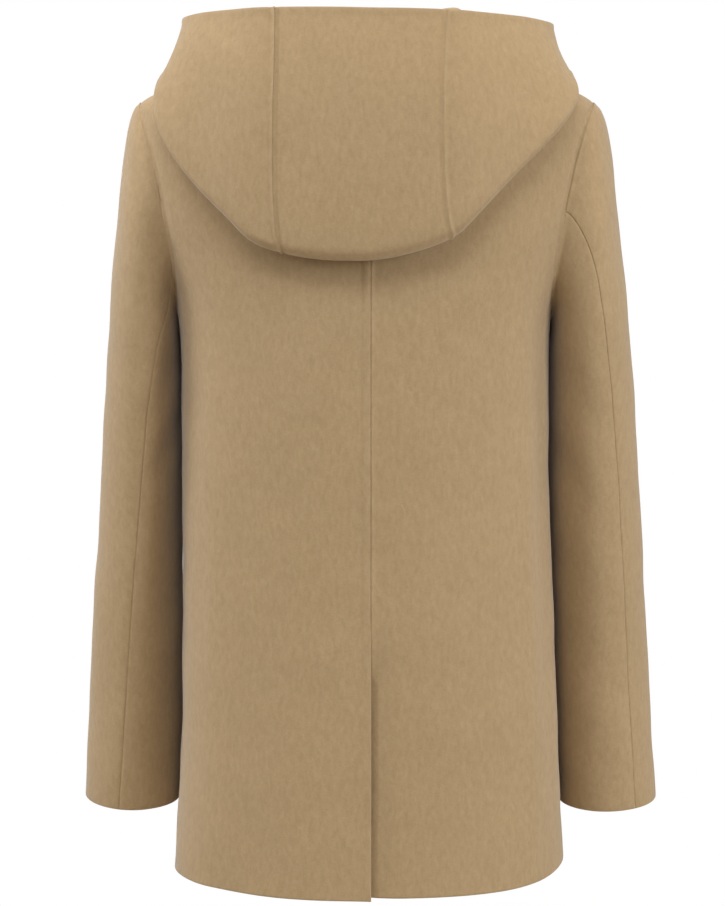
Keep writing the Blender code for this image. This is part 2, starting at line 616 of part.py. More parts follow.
def hood_profile(side, row):
    """Control points of the hood's outer face at one station, from the neck seam to the free edge."""
    value = dict(zip(HOOD_COLUMNS, row))
    neck, out = neck_point(side, value["neck"])
    up = np.array([0.0, 0.0, 1.0])
    end = torso(side, value["fold_turn"], value["fold_z"])
    tilted = grown(end[1], HOOD_BEHIND) * ease((HOOD_LOW[0] - end[2]) / HOOD_LOW[1])
    fold_z = end[2] - HOOD_TILT * end[0] * tilted
    end = torso(side, value["fold_turn"], fold_z)
    if end[1] > 0.0:
        end = torso(side, turn_at_x(side, side * (end[0] + hood_shift(end)), fold_z), fold_z)
    way = unit((end - neck) * (1.0, 1.0, 0.0))
    rise, lean = STAND_HEIGHT * value["stand"], STAND_LEAN * value["stand"]
    fold = HOOD_FOLD * value["fold"]

    def on_torso(share):
        z = neck[2] + (fold_z - neck[2]) * share
        return neck * (1.0, 1.0, 0.0) + torso_reach(side, neck, way, z) * way + z * up

    def lifted(share, lift):
        along = unit(on_torso(share) - on_torso(share - HOOD_LOOK_BACK))
        normal = np.array([-way[0] * along[2], -way[1] * along[2], np.dot(way, along)])
        return on_torso(share) + lift * normal, normal, along

    start = neck - HOOD_START[0] * out + HOOD_START[1] * up
    bend = STAND_BEND[0] * rise * up + STAND_BEND[1] * lean * out
    points = [start, start + bend, start + rise * up + lean * out]
    points += [lifted(share, HOOD_REST + lift)[0] for share, lift in HOOD_SLACK]
    base, normal, along = lifted(1.0, HOOD_REST)
    for angle in np.radians((0.0, 45.0, 90.0, 135.0, 180.0)):
        points.append(base + fold * ((1.0 - math.cos(angle)) * normal + math.sin(angle) * along))
    edge = np.array([side * value["edge_x"], value["edge_y"], value["edge_z"]])
    edge = edge + (hood_shift(edge), 0.0, HOOD_EDGE_TILT * edge[0])
    upper = edge - points[-1]
    bulge_way = unit(np.cross(np.cross(upper, unit(normal * (1.0, 1.0, BULGE_UP))), upper))
    points += [points[-1] + 0.5 * upper + value["bulge"] * bulge_way, edge]
    return np.array(points)


def hood_surface():
    """The hood's outer face as a function of station, negative on the right, and share of the profile."""
    profiles = [hood_profile(-1, row) for row in HOOD[:0:-1]] + [hood_profile(1, row) for row in HOOD]
    knots = []
    for points in profiles:
        chord = np.cumsum(np.sqrt(np.linalg.norm(np.diff(points, axis=0), axis=1)))
        knots.append(np.concatenate([[0.0], chord / chord[-1]]))
    share = np.linspace(0.0, 1.0, HOOD_SAMPLES + 1)
    common = np.mean(knots, axis=0)
    even = np.array([spline(knot, points)(np.interp(share, common, knot))
                     for knot, points in zip(knots, profiles)])
    stations = np.arange(len(even)) - (len(even) - 1) / 2.0
    across = spline(stations, even)

    def at(station, place):
        column = across(station)
        place = np.clip(np.asarray(place, float), 0.0, 1.0) * HOOD_SAMPLES
        i = np.clip(np.floor(place).astype(int), 0, HOOD_SAMPLES - 1)
        t = (place - i)[:, None]
        rows = np.arange(len(column))
        return column[rows, i] * (1.0 - t) + column[rows, i + 1] * t

    return at


def hood_piece(name, surface, first_seam, last_seam, count):
    """A hood piece between two stations, each a function of the share of the profile."""
    share = np.linspace(0.0, 1.0, HOOD_ROWS + 1)[:, None]
    first, last = first_seam(share), last_seam(share)
    station = first + (last - first) * np.linspace(0.0, 1.0, count + 1)[None, :]
    shape = station.shape + (3,)
    share, station = np.broadcast_to(share, station.shape).ravel(), station.ravel()
    step = 0.01
    outer = surface(station, share)
    across = surface(station + step, share) - surface(station - step, share)
    low, high = np.clip(share - step, 0.0, 1.0), np.clip(share + step, 0.0, 1.0)
    along = surface(station, high) - surface(station, low)
    normals = unit(np.cross(along, across))
    return wall(name, outer.reshape(shape), normals.reshape(shape))


def make_hood():
    surface = hood_surface()
    end = len(HOOD) - 1.0
    gap = STATION_SETBACK
    left, right = [table_curve(STRIP_SEAM_COLUMNS, STRIP_SEAM, name) for name in ("left", "right")]
    hood_piece("hood_centre", surface, lambda share: gap - right(share), lambda share: left(share) - gap,
               STRIP_COLUMNS)
    hood_piece("hood_left", surface, lambda share: left(share) + gap, lambda share: end + 0.0 * share,
               HOOD_SIDE_COLUMNS)
    hood_piece("hood_right", surface, lambda share: 0.0 * share - end, lambda share: -right(share) - gap,
               HOOD_SIDE_COLUMNS)


# ---- Buttons --------------------------------------------------------------------------------------
def make_button(index):
    """A plain round button with four holes, on the right front at the centre."""
    z = BUTTON_TOP_Z - BUTTON_STEP * index
    normal = torso_normal(-1, 180.0, z)
    seat = torso(-1, 180.0, z) + (CLOTH + LAP_GAP + SEAM_GAP) * normal
    across = np.array([1.0, 0.0, 0.0])
    up = unit(np.cross(normal, across))
    name = "button_%d" % (index + 1)
    horn = make_material(name, HORN, HORN_ROUGHNESS)
    rings = ((BUTTON_RADIUS, 0.0), (BUTTON_RADIUS, BUTTON_THICK - BUTTON_BEVEL),
             (BUTTON_RADIUS - BUTTON_BEVEL, BUTTON_THICK))
    disc = turned(name, seat, (across, up, normal), rings, BUTTON_SIDES, horn)
    for turn in range(4):
        angle = math.radians(45.0 + 90.0 * turn)
        place = seat + BUTTON_HOLE_RING * (math.cos(angle) * across + math.sin(angle) * up)
        rings = ((BUTTON_HOLE, -BUTTON_THICK), (BUTTON_HOLE, 2.0 * BUTTON_THICK))
        hole = turned("%s_hole_%d" % (name, turn + 1), place, (across, up, normal), rings, HOLE_SIDES, horn)
        hole.hide_render = True
        hole.display_type = "WIRE"
        cut = disc.modifiers.new("hole", "BOOLEAN")
        cut.operation = "DIFFERENCE"
        cut.object = hole


def turned(name, base, axes, rings, sides, material):
    """A round piece on base; axes are its two level directions and its axis, rings its radii and heights."""
    across, up, axis = axes
    points = []
    for radius, level in rings:
        for k in range(sides):
            angle = 2.0 * math.pi * k / sides
            points.append(base + axis * level + radius * (math.cos(angle) * across + math.sin(angle) * up))
    faces = [tuple(range(sides))[::-1], tuple(range(len(points) - sides, len(points)))]
    for ring in range(len(rings) - 1):
        for k in range(sides):
            a, b = ring * sides + k, ring * sides + (k + 1) % sides
            faces.append((a, b, b + sides, a + sides))
    if np.dot(np.cross(across, up), axis) < 0.0:
        faces = [face[::-1] for face in faces]
    return add_mesh(name, np.array(points), faces, material, base)


def main():
    for old in list(bpy.data.objects):
        bpy.data.objects.remove(old)
    for side in (1, -1):
        make_back(side)
        make_front(side)
        make_sleeve(side)
    make_hood()
    for index in range(BUTTON_COUNT):
        make_button(index)


main()
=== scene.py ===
"""Looks for the hooded overshirt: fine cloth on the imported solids, wool and horn, camera and light.

The cloth follows the same surfaces as the part's solids, in the row's frame: the wearer faces -Y.
"""
import math

import bpy
import numpy as np
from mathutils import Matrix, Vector


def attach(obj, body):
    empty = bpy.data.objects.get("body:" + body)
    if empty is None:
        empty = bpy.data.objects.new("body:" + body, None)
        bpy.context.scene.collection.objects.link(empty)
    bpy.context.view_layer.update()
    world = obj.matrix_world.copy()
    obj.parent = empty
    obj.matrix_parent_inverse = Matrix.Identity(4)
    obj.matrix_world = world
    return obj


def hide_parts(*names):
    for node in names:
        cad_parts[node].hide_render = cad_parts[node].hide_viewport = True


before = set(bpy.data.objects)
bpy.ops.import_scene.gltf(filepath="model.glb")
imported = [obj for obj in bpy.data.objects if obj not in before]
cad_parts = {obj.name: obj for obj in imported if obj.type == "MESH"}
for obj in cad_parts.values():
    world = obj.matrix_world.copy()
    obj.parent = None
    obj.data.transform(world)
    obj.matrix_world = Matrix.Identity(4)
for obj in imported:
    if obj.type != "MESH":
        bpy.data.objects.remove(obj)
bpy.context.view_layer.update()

# ---- The garment's sizes, in metres ---------------------------------------------------------------
CLOTH = 0.003                 # thickness of the double-faced wool
SEAM_GAP = 0.00005            # gap between two pieces at a seam
SEAM_SETBACK = 0.6 * SEAM_GAP # distance of each piece's edge from a sleeve seam's line
ARMHOLE_GAP = 0.00012         # gap between a sleeve's start and the armhole, sideways
LAP_GAP = 0.0006              # gap between two layers that lie on each other

HEM_Z = -0.7355               # mean height of the hem
ARMPIT_Z = -0.240             # lowest point of the armhole
SHOULDER_Z = -0.048           # outer end of the shoulder seam
NECK_HALF = 0.078             # half the neck's width at the shoulder seams
NECK_BACK = 0.070             # depth of the neck behind the origin
NECK_FRONT = 0.086            # depth of the neck before the origin
TORSO_ROUND = 2.5             # exponent of the torso's rounded section

BACK_SEAM_X = -0.002          # the centre back seam hangs a little to the wearer's right
VENT_TOP_Z = -0.545           # top of the vent in the back seam
VENT_UNDERLAP = 0.040         # width of the right back's hidden extension
VENT_FLAT = 0.003             # beside the seam the right back stays fully behind over this stretch
VENT_RAMP = 0.022             # and rises to the torso's surface over this one
VENT_FADE = 0.050             # height above the vent over which it comes back to the surface at the seam
FRONT_OVERLAP = 0.022         # each front passes the centre by this much
FRONT_RAMP_START = 0.032      # distance from the centre where the right front has risen onto the left
FRONT_RAMP = 0.022            # stretch over which it rises

CUFF_Z = {1: -0.6757, -1: -0.6768}   # mean height of the left and right sleeve's lower edge
CUFF_TILT = 0.006             # the cuff hangs lower behind and higher in front by this much
CUFF_SLOPE = 0.0018           # and higher at its outer side
SLEEVE_CLEARANCE = 0.0010     # gap between a hanging sleeve and the body
SLEEVE_CROWDING = 1.6         # exponent that sets a sleeve's rows closer near the armhole
HEAD_DROP = 0.060             # height over which the sleeve head rounds down at the shoulder
SIDE_DROP = 0.095             # the same at the front and back of the armhole

HOOD_FOLD = 0.012             # outer radius of the fold at the bottom of the lying hood
HOOD_REST = 0.0022            # gap between the hood's lower layer and the back
HOOD_SHIFT = 0.0080           # the hood's back lies a little to the wearer's left
HOOD_TILT = 0.035             # and the left side of its fold hangs lower, as a slope
HOOD_EDGE_TILT = 0.0137       # while the left side of its free edge stands higher
HOOD_BEHIND = (-0.02, 0.10)   # these apply from this place in y, and fully after this stretch
HOOD_HIGH = (-0.12, 0.07)     # the shift fades out at the sides from this height over this stretch
HOOD_WIDE = (0.08, 0.11)      # and from this distance from the centre over this stretch
HOOD_LOW = (-0.045, 0.06)     # the fold's tilt grows from this height down over this stretch
HOOD_START = (0.0007, 0.0004) # the hood begins this far inside the neckline and this far above it

BUTTON_COUNT = 5

# Half-widths and depths of the torso at each height. Above the armpit the half-widths run on under the
# sleeves, where only the stretch inside the armhole is cut.
TORSO_COLUMNS = ("z", "half_left", "half_right", "back", "front")
TORSO = (
    (0.000, 0.0780, 0.0780, 0.060, 0.050),
    (-0.012, 0.1115, 0.1115, 0.070, 0.057),
    (-0.024, 0.1465, 0.1460, 0.079, 0.064),
    (-0.036, 0.1800, 0.1785, 0.087, 0.070),
    (-0.048, 0.2030, 0.2005, 0.094, 0.0765),
    (-0.062, 0.2100, 0.2050, 0.101, 0.083),
    (-0.080, 0.2105, 0.2045, 0.108, 0.091),
    (-0.100, 0.2085, 0.2010, 0.1145, 0.099),
    (-0.121, 0.2060, 0.1975, 0.119, 0.106),
    (-0.144, 0.2010, 0.1920, 0.123, 0.113),
    (-0.183, 0.1860, 0.1780, 0.1275, 0.122),
    (-0.215, 0.1750, 0.1675, 0.1285, 0.127),
    (-0.240, 0.1700, 0.1630, 0.1285, 0.129),
    (-0.300, 0.1675, 0.1612, 0.1280, 0.130),
    (-0.400, 0.1670, 0.1620, 0.1280, 0.130),
    (-0.500, 0.1670, 0.1658, 0.1295, 0.130),
    (-0.600, 0.1680, 0.1695, 0.1325, 0.131),
    (-0.740, 0.1755, 0.1765, 0.1380, 0.135),
)

# How much higher than level the hem hangs at each turn from the centre back to the centre front.
HEM_COLUMNS = ("turn", "left", "right")
HEM = (
    (0.0, -0.0035, -0.0010),
    (22.0, -0.0018, -0.0004),
    (45.0, 0.0012, 0.0020),
    (55.0, 0.0018, 0.0040),
    (66.0, 0.0030, 0.0072),
    (78.0, 0.0030, 0.0115),
    (90.0, 0.0022, 0.0130),
    (120.0, 0.0008, 0.0060),
    (150.0, -0.0012, 0.0005),
    (180.0, -0.0022, -0.0022),
)

# Distance of the armhole seam from the centre at each height, behind and in front.
ARMHOLE_COLUMNS = ("z", "back_left", "back_right", "front_left", "front_right")
ARMHOLE = (
    (-0.048, 0.2030, 0.2005, 0.2030, 0.2005),
    (-0.062, 0.2000, 0.1940, 0.1965, 0.1925),
    (-0.080, 0.1948, 0.1872, 0.1890, 0.1845),
    (-0.100, 0.1888, 0.1812, 0.1820, 0.1770),
    (-0.121, 0.1838, 0.1760, 0.1765, 0.1710),
    (-0.144, 0.1798, 0.1713, 0.1725, 0.1665),
    (-0.183, 0.1728, 0.1650, 0.1690, 0.1625),
    (-0.215, 0.1702, 0.1622, 0.1690, 0.1617),
    (-0.240, 0.1700, 0.1630, 0.1700, 0.1630),
)

# Sections of the sleeves: outer side, half depth and how far the middle sits behind the origin.
SLEEVE_COLUMNS = ("z", "outer_left", "outer_right", "half_depth", "middle_y")
SLEEVE = (
    (-0.040, 0.2170, 0.2155, 0.0700, -0.004),
    (-0.106, 0.2205, 0.2195, 0.0725, -0.004),
    (-0.151, 0.2250, 0.2237, 0.0740, -0.005),
    (-0.223, 0.2309, 0.2318, 0.0740, -0.006),
    (-0.313, 0.2370, 0.2393, 0.0675, -0.009),
    (-0.403, 0.2425, 0.2455, 0.0610, -0.014),
    (-0.493, 0.2492, 0.2512, 0.0565, -0.019),
    (-0.583, 0.2545, 0.2568, 0.0525, -0.024),
    (-0.690, 0.2595, 0.2640, 0.0490, -0.030),
)

# Where the two seams of a sleeve run, as degrees round the sleeve from its outer side towards the back,
# at each part of the way from the armhole to the cuff.
SLEEVE_SEAM_COLUMNS = ("way", "back_left", "back_right", "front")
SLEEVE_SEAM = (
    (0.00, 119.0, 92.0, 222.0),
    (0.06, 133.0, 92.5, 225.0),
    (0.15, 134.0, 90.5, 230.0),
    (0.30, 120.0, 83.0, 234.0),
    (0.50, 103.0, 70.0, 236.0),
    (0.75, 88.0, 62.0, 236.0),
    (1.00, 78.0, 60.0, 236.0),
)

# The lying hood, station by station from the centre back round to the front end. neck: degrees round the
# neckline. fold_turn, fold_z: where the lower layer ends on the torso. fold, stand: shares of the full fold
# and stand. edge: the free edge, which frames the face when the hood is up. bulge: how far the upper
# layer's middle stands out.
HOOD_COLUMNS = ("neck", "fold_turn", "fold_z", "fold", "stand", "edge_x", "edge_y", "edge_z", "bulge")
HOOD = (
    (0.0, 0.0, -0.181, 1.00, 1.00, 0.0000, 0.1290, 0.0236, 0.009),
    (44.8, 17.3, -0.168, 1.00, 1.00, 0.0735, 0.1230, 0.0234, 0.009),
    (58.0, 25.5, -0.143, 1.00, 1.00, 0.1060, 0.1080, 0.0230, 0.009),
    (69.0, 39.0, -0.092, 1.00, 1.00, 0.1370, 0.0830, 0.0225, 0.005),
    (78.0, 50.0, -0.055, 0.80, 1.00, 0.1575, 0.0560, 0.0217, -0.001),
    (86.0, 61.5, -0.040, 0.66, 1.00, 0.1630, 0.0340, 0.0215, -0.003),
    (96.0, 84.0, -0.033, 0.60, 1.00, 0.1615, 0.0070, 0.0205, -0.003),
    (110.0, 112.0, -0.033, 0.62, 1.00, 0.1480, -0.0300, 0.0150, 0.000),
    (126.0, 145.0, -0.044, 0.68, 0.95, 0.1180, -0.0620, 0.0010, 0.005),
    (142.0, 163.0, -0.062, 0.68, 0.80, 0.0800, -0.0850, -0.0240, 0.006),
    (156.0, 170.5, -0.080, 0.64, 0.60, 0.0530, -0.0990, -0.0550, 0.004),
)
# The stations where the centre strip meets the side pieces, at each share of the profile.
STRIP_SEAM_COLUMNS = ("share", "left", "right")
STRIP_SEAM = (
    (0.00, 0.970, 1.000),
    (0.35, 0.920, 1.050),
    (0.55, 0.840, 1.130),
    (0.65, 0.790, 1.170),
    (0.70, 0.775, 1.150),
    (0.75, 0.800, 1.095),
    (0.80, 0.840, 1.010),
    (0.87, 0.870, 0.945),
    (0.95, 0.910, 0.965),
    (1.00, 0.970, 1.020),
)
STATION_SETBACK = 0.0010      # distance of each piece's edge from these, as a share of a station
STAND_HEIGHT = 0.027          # how far the hood rises above the neck seam before it rolls over
STAND_LEAN = 0.016            # how far it has moved out there
STAND_BEND = (0.60, 0.25)     # shares of that height and lean halfway through the roll
HOOD_SLACK = ((0.55, 0.007), (0.80, 0.003))   # share of the lower layer's way and its extra lift there
HOOD_LOOK_BACK = 0.02         # share of the way over which the lower layer's direction is taken
FOLD_ANGLES = (0.0, 45.0, 90.0, 135.0, 180.0)  # degrees round the fold where its points are set
BULGE_UP = 0.3                # how much of the fold's upward direction the upper layer's bulge keeps
HOOD_SAMPLES = 160            # points on each profile from which the hood's surface is read

BISECTIONS = 40               # halvings when a place on the torso is searched
NECK_LOWEST = -0.15           # the neckline is searched between this height and 0
REACH_LIMIT = 0.4             # the torso's surface is searched within this distance
FAN_START_Z = -0.384          # from this height up the rows of the body bend to the neckline
VENT_ROWS = 5                 # coarse rows of the body from the hem to the vent's top
SIDE_ROWS = 8                 # from there to the armpit
SHOULDER_ROWS = 6             # and from the shoulder's outer end to the neck
ARMHOLE_STEPS = (7, 4, 3, 8)  # coarse steps from the shoulder round the back and the front of the armhole
NEAR = 1e-6                   # two heights are the same within this
LEVEL = (1.0, 1.0, 0.0)       # keeps the level part of a direction


# ---- Curves ---------------------------------------------------------------------------------------
def spline(knots, values):
    """A smooth curve through the values at the knots, as a function; values may be points."""
    knots = np.asarray(knots, float)
    values = np.asarray(values, float)
    if knots[0] > knots[-1]:
        knots, values = knots[::-1], values[::-1]
    count = len(knots)
    step = np.diff(knots)
    flat = values.reshape(count, -1)
    slope = np.diff(flat, axis=0) / step[:, None]
    matrix = np.eye(count)
    right = np.zeros_like(flat)
    for i in range(1, count - 1):
        matrix[i, i - 1:i + 2] = step[i - 1], 2.0 * (step[i - 1] + step[i]), step[i]
        right[i] = 6.0 * (slope[i] - slope[i - 1])
    bend = np.linalg.solve(matrix, right)

    def at(x):
        x = np.asarray(x, float)
        i = np.clip(np.searchsorted(knots, x) - 1, 0, count - 2)
        h = step[i][..., None]
        a = (knots[i + 1] - x)[..., None] / h
        b = 1.0 - a
        out = a * flat[i] + b * flat[i + 1]
        out = out + ((a ** 3 - a) * bend[i] + (b ** 3 - b) * bend[i + 1]) * h * h / 6.0
        return out.reshape(x.shape + values.shape[1:])

    return at


def curves(names, table):
    """The columns of a table as smooth functions of its first column."""
    first, *others = np.array(table, float).T
    return {name: spline(first, column) for name, column in zip(names[1:], others)}


def ease(x):
    """0 to 1 with level ends."""
    x = np.clip(x, 0.0, 1.0)
    return x * x * (3.0 - 2.0 * x)


def grown(value, start_and_stretch):
    """0 before the start and 1 after the stretch."""
    start, stretch = start_and_stretch
    return ease((value - start) / stretch)


def unit(vectors):
    """The same directions with length 1."""
    return vectors / np.linalg.norm(vectors, axis=-1, keepdims=True)


def side_name(side):
    return "left" if side > 0 else "right"


def both_sides(of_table, prefix=""):
    """A table's curves for the left side, 1, and the right side, -1."""
    return {side: of_table[prefix + side_name(side)] for side in (1, -1)}


# ---- The torso surface ----------------------------------------------------------------------------
TORSO_CURVES, ARMHOLE_CURVES = curves(TORSO_COLUMNS, TORSO), curves(ARMHOLE_COLUMNS, ARMHOLE)
HALF = both_sides(TORSO_CURVES, "half_")
BACK_DEPTH, FRONT_DEPTH = TORSO_CURVES["back"], TORSO_CURVES["front"]
ARMHOLE_X = {face: both_sides(ARMHOLE_CURVES, face + "_") for face in ("back", "front")}
SLEEVE_SEAM_CURVES = curves(SLEEVE_SEAM_COLUMNS, SLEEVE_SEAM)
SLEEVE_BACK_SEAM, SLEEVE_FRONT_SEAM = both_sides(SLEEVE_SEAM_CURVES, "back_"), SLEEVE_SEAM_CURVES["front"]
HEM_LIFT = both_sides(curves(HEM_COLUMNS, HEM))


def signed_power(x, power):
    return np.sign(x) * np.abs(x) ** power


def half_width(side, own_side, z):
    """Half the torso's width at a height, on the panel's own side or past the centre."""
    return np.where(own_side, HALF[side](z), HALF[-side](z))


def depth_at(behind, z):
    """The torso's depth at a height, behind or in front."""
    return np.where(behind, BACK_DEPTH(z), FRONT_DEPTH(z))


def torso(side, turn, z):
    """The torso's outer surface. turn is in degrees, from 0 at the centre back to 180 at the centre front.

    A negative turn passes the centre onto the other side.
    """
    turn, z = np.radians(turn), np.asarray(z, float)
    sine, cosine = np.sin(turn), np.cos(turn)
    x = side * half_width(side, sine >= 0.0, z) * signed_power(sine, 2.0 / TORSO_ROUND)
    y = depth_at(cosine >= 0.0, z) * signed_power(cosine, 2.0 / TORSO_ROUND)
    return np.stack(np.broadcast_arrays(x, y, z), axis=-1)


def torso_normal(side, turn, z):
    """The outward direction of the torso's surface."""
    small = 1e-5
    turn_rad, z = np.radians(turn), np.asarray(z, float)
    sine, cosine = np.sin(turn_rad), np.cos(turn_rad)

    own_side, behind = sine >= 0.0, cosine >= 0.0
    half, depth = half_width(side, own_side, z), depth_at(behind, z)
    half_change = half_width(side, own_side, z + small) - half_width(side, own_side, z - small)
    depth_change = depth_at(behind, z + small) - depth_at(behind, z - small)
    half_rate, depth_rate = half_change / (2.0 * small), depth_change / (2.0 * small)
    across = np.abs(sine) ** (2.0 / TORSO_ROUND)
    along = np.abs(cosine) ** (2.0 / TORSO_ROUND)
    power = TORSO_ROUND - 1.0
    x = across ** power / half
    y = along ** power / depth
    up = -(across ** TORSO_ROUND * half_rate / half + along ** TORSO_ROUND * depth_rate / depth)
    return unit(np.stack(np.broadcast_arrays(side * np.sign(sine) * x, np.sign(cosine) * y, up), axis=-1))


def turn_at_x(side, x, z):
    """The turn of the torso's point at the distance x from the centre, on the back half."""
    half = half_width(side, np.asarray(x) >= 0.0, z)
    return np.degrees(np.arcsin(np.clip(signed_power(np.asarray(x) / half, TORSO_ROUND / 2.0), -1.0, 1.0)))


def turn_at_y(y, z):
    """The turn of the torso's point at the distance y behind the origin."""
    depth = depth_at(np.asarray(y) >= 0.0, z)
    return np.degrees(np.arccos(np.clip(signed_power(np.asarray(y) / depth, TORSO_ROUND / 2.0), -1.0, 1.0)))


def neck_z(turn):
    """Height of the neckline at a turn: where the torso meets an upright neck with an oval section."""
    low, high = np.full(np.shape(turn), NECK_LOWEST), np.zeros(np.shape(turn))
    for _ in range(BISECTIONS):
        middle = 0.5 * (low + high)
        point = torso(1, turn, middle)
        neck_depth = np.where(point[..., 1] >= 0.0, NECK_BACK, NECK_FRONT)
        outside = (point[..., 0] / NECK_HALF) ** 2 + (point[..., 1] / neck_depth) ** 2 > 1.0
        low, high = np.where(outside, middle, low), np.where(outside, high, middle)
    return 0.5 * (low + high)


def armhole_z(turn):
    """Height of the armhole seam at a turn round the sleeve: 0 outer, 90 back, 180 armpit, 270 front."""
    return 0.5 * (SHOULDER_Z + ARMPIT_Z) + 0.5 * (SHOULDER_Z - ARMPIT_Z) * np.cos(np.radians(turn))


def hem_lift(side, turn, z):
    """How much higher the cloth hangs than a level hem, fading out above it."""
    return HEM_LIFT[side](np.clip(turn, 0.0, 180.0)) * ease((VENT_TOP_Z - z) / (VENT_TOP_Z - HEM_Z))


# ---- Sleeves --------------------------------------------------------------------------------------
SLEEVE_CURVES = curves(SLEEVE_COLUMNS, SLEEVE)
SLEEVE_OUTER = both_sides(SLEEVE_CURVES, "outer_")
SLEEVE_DEPTH, SLEEVE_MIDDLE = SLEEVE_CURVES["half_depth"], SLEEVE_CURVES["middle_y"]


def armhole_point(side, turn):
    """The point of the sleeve's start at a turn round the sleeve."""
    angle = np.radians(turn)
    z = armhole_z(turn)
    behind = np.sin(angle) >= 0.0
    x = np.where(behind, ARMHOLE_X["back"][side](z), ARMHOLE_X["front"][side](z))
    x = np.minimum(x, HALF[side](z))
    left_over = np.clip(1.0 - (x / HALF[side](z)) ** TORSO_ROUND, 0.0, 1.0)
    y = depth_at(behind, z) * left_over ** (1.0 / TORSO_ROUND)
    return side * (x + ARMHOLE_GAP), np.where(behind, y, -y), z


def sleeve(side, turn, way):
    """The sleeve's outer surface; way runs from 0 at the armhole to 1 at the cuff."""
    turn, way = np.broadcast_arrays(np.asarray(turn, float), np.asarray(way, float))
    angle = np.radians(turn)
    start_x, start_y, start_z = armhole_point(side, turn)
    end_z = CUFF_Z[side] - CUFF_TILT * np.sin(angle) + CUFF_SLOPE * np.cos(angle)
    z = start_z + (end_z - start_z) * way ** SLEEVE_CROWDING
    inner = HALF[side](np.minimum(z, ARMPIT_Z)) + SLEEVE_CLEARANCE
    outer = SLEEVE_OUTER[side](z)
    middle, half = 0.5 * (outer + inner), 0.5 * (outer - inner)
    ring_x = side * (middle + half * np.cos(angle))
    ring_y = SLEEVE_MIDDLE(z) + SLEEVE_DEPTH(z) * np.sin(angle)
    drop = HEAD_DROP + (SIDE_DROP - HEAD_DROP) * 0.5 * (1.0 - np.cos(angle))
    fall = np.clip((start_z - z) / drop, 0.0, 1.0)
    reach = np.sqrt(1.0 - (1.0 - fall) ** 2)
    return np.stack([start_x + (ring_x - start_x) * reach, start_y + (ring_y - start_y) * reach, z], axis=-1)


def sleeve_normal(side, turn, way):
    """The outward direction of the sleeve's surface."""
    step_turn, step_way = 0.2, 0.002
    low, high = np.clip(way - step_way, 0.0, 1.0), np.clip(way + step_way, 0.0, 1.0)
    round_it = sleeve(side, turn + step_turn, way) - sleeve(side, turn - step_turn, way)
    down_it = sleeve(side, turn, high) - sleeve(side, turn, low)
    return unit(side * np.cross(down_it, round_it))


# ---- Hood -----------------------------------------------------------------------------------------
def torso_reach(side, start, direction, z):
    """Distance from start, along a level direction, to the torso's surface at the height z."""
    low, high = 0.0, REACH_LIMIT
    for _ in range(BISECTIONS):
        middle = 0.5 * (low + high)
        x, y = start[:2] + middle * direction[:2]
        half = HALF[side](z) if side * x >= 0.0 else HALF[-side](z)
        depth = BACK_DEPTH(z) if y >= 0.0 else FRONT_DEPTH(z)
        inside = (abs(x) / half) ** TORSO_ROUND + (abs(y) / depth) ** TORSO_ROUND < 1.0
        low, high = (middle, high) if inside else (low, middle)
    return low


def neck_point(side, angle):
    """The neckline's point at an angle in degrees from the centre back, and the level way out of the neck."""
    angle = np.radians(angle)
    depth = NECK_BACK if np.cos(angle) >= 0.0 else NECK_FRONT
    out = np.array([side * NECK_HALF * np.sin(angle), depth * np.cos(angle), 0.0])
    low, high = NECK_LOWEST, 0.0
    for _ in range(BISECTIONS):
        z = 0.5 * (low + high)
        if torso_reach(side, np.zeros(3), unit(out), z) > np.linalg.norm(out):
            low = z
        else:
            high = z
    return out + np.array([0.0, 0.0, z]), unit(out)


def hood_shift(point):
    """How far a point of the lying hood has slid to the wearer's left."""
    fade = grown(abs(point[0]), HOOD_WIDE) * grown(point[2], HOOD_HIGH)
    return HOOD_SHIFT * grown(point[1], HOOD_BEHIND) * (1.0 - fade)


def hood_profile(side, row):
    """Control points of the hood's outer face at one station, from the neck seam to the free edge."""
    value = dict(zip(HOOD_COLUMNS, row))
    neck, out = neck_point(side, value["neck"])
    up = np.array([0.0, 0.0, 1.0])
    end = torso(side, value["fold_turn"], value["fold_z"])
    tilted = grown(end[1], HOOD_BEHIND) * ease((HOOD_LOW[0] - end[2]) / HOOD_LOW[1])
    fold_z = end[2] - HOOD_TILT * end[0] * tilted
    end = torso(side, value["fold_turn"], fold_z)
    if end[1] > 0.0:
        end = torso(side, turn_at_x(side, side * (end[0] + hood_shift(end)), fold_z), fold_z)
    way = unit((end - neck) * LEVEL)
    rise, lean = STAND_HEIGHT * value["stand"], STAND_LEAN * value["stand"]
    fold = HOOD_FOLD * value["fold"]

    def on_torso(share):
        z = neck[2] + (fold_z - neck[2]) * share
        return neck * LEVEL + torso_reach(side, neck, way, z) * way + z * up

    def lifted(share, lift):
        along = unit(on_torso(share) - on_torso(share - HOOD_LOOK_BACK))
        normal = np.array([-way[0] * along[2], -way[1] * along[2], np.dot(way, along)])
        return on_torso(share) + lift * normal, normal, along

    start = neck - HOOD_START[0] * out + HOOD_START[1] * up
    bend = STAND_BEND[0] * rise * up + STAND_BEND[1] * lean * out
    points = [start, start + bend, start + rise * up + lean * out]
    points += [lifted(share, HOOD_REST + lift)[0] for share, lift in HOOD_SLACK]
    base, normal, along = lifted(1.0, HOOD_REST)
    for angle in np.radians(FOLD_ANGLES):
        points.append(base + fold * ((1.0 - math.cos(angle)) * normal + math.sin(angle) * along))
    edge = np.array([side * value["edge_x"], value["edge_y"], value["edge_z"]])
    edge = edge + (hood_shift(edge), 0.0, HOOD_EDGE_TILT * edge[0])
    upper = edge - points[-1]
    bulge_way = unit(np.cross(np.cross(upper, unit(normal * (1.0, 1.0, BULGE_UP))), upper))
    points += [points[-1] + 0.5 * upper + value["bulge"] * bulge_way, edge]
    return np.array(points)


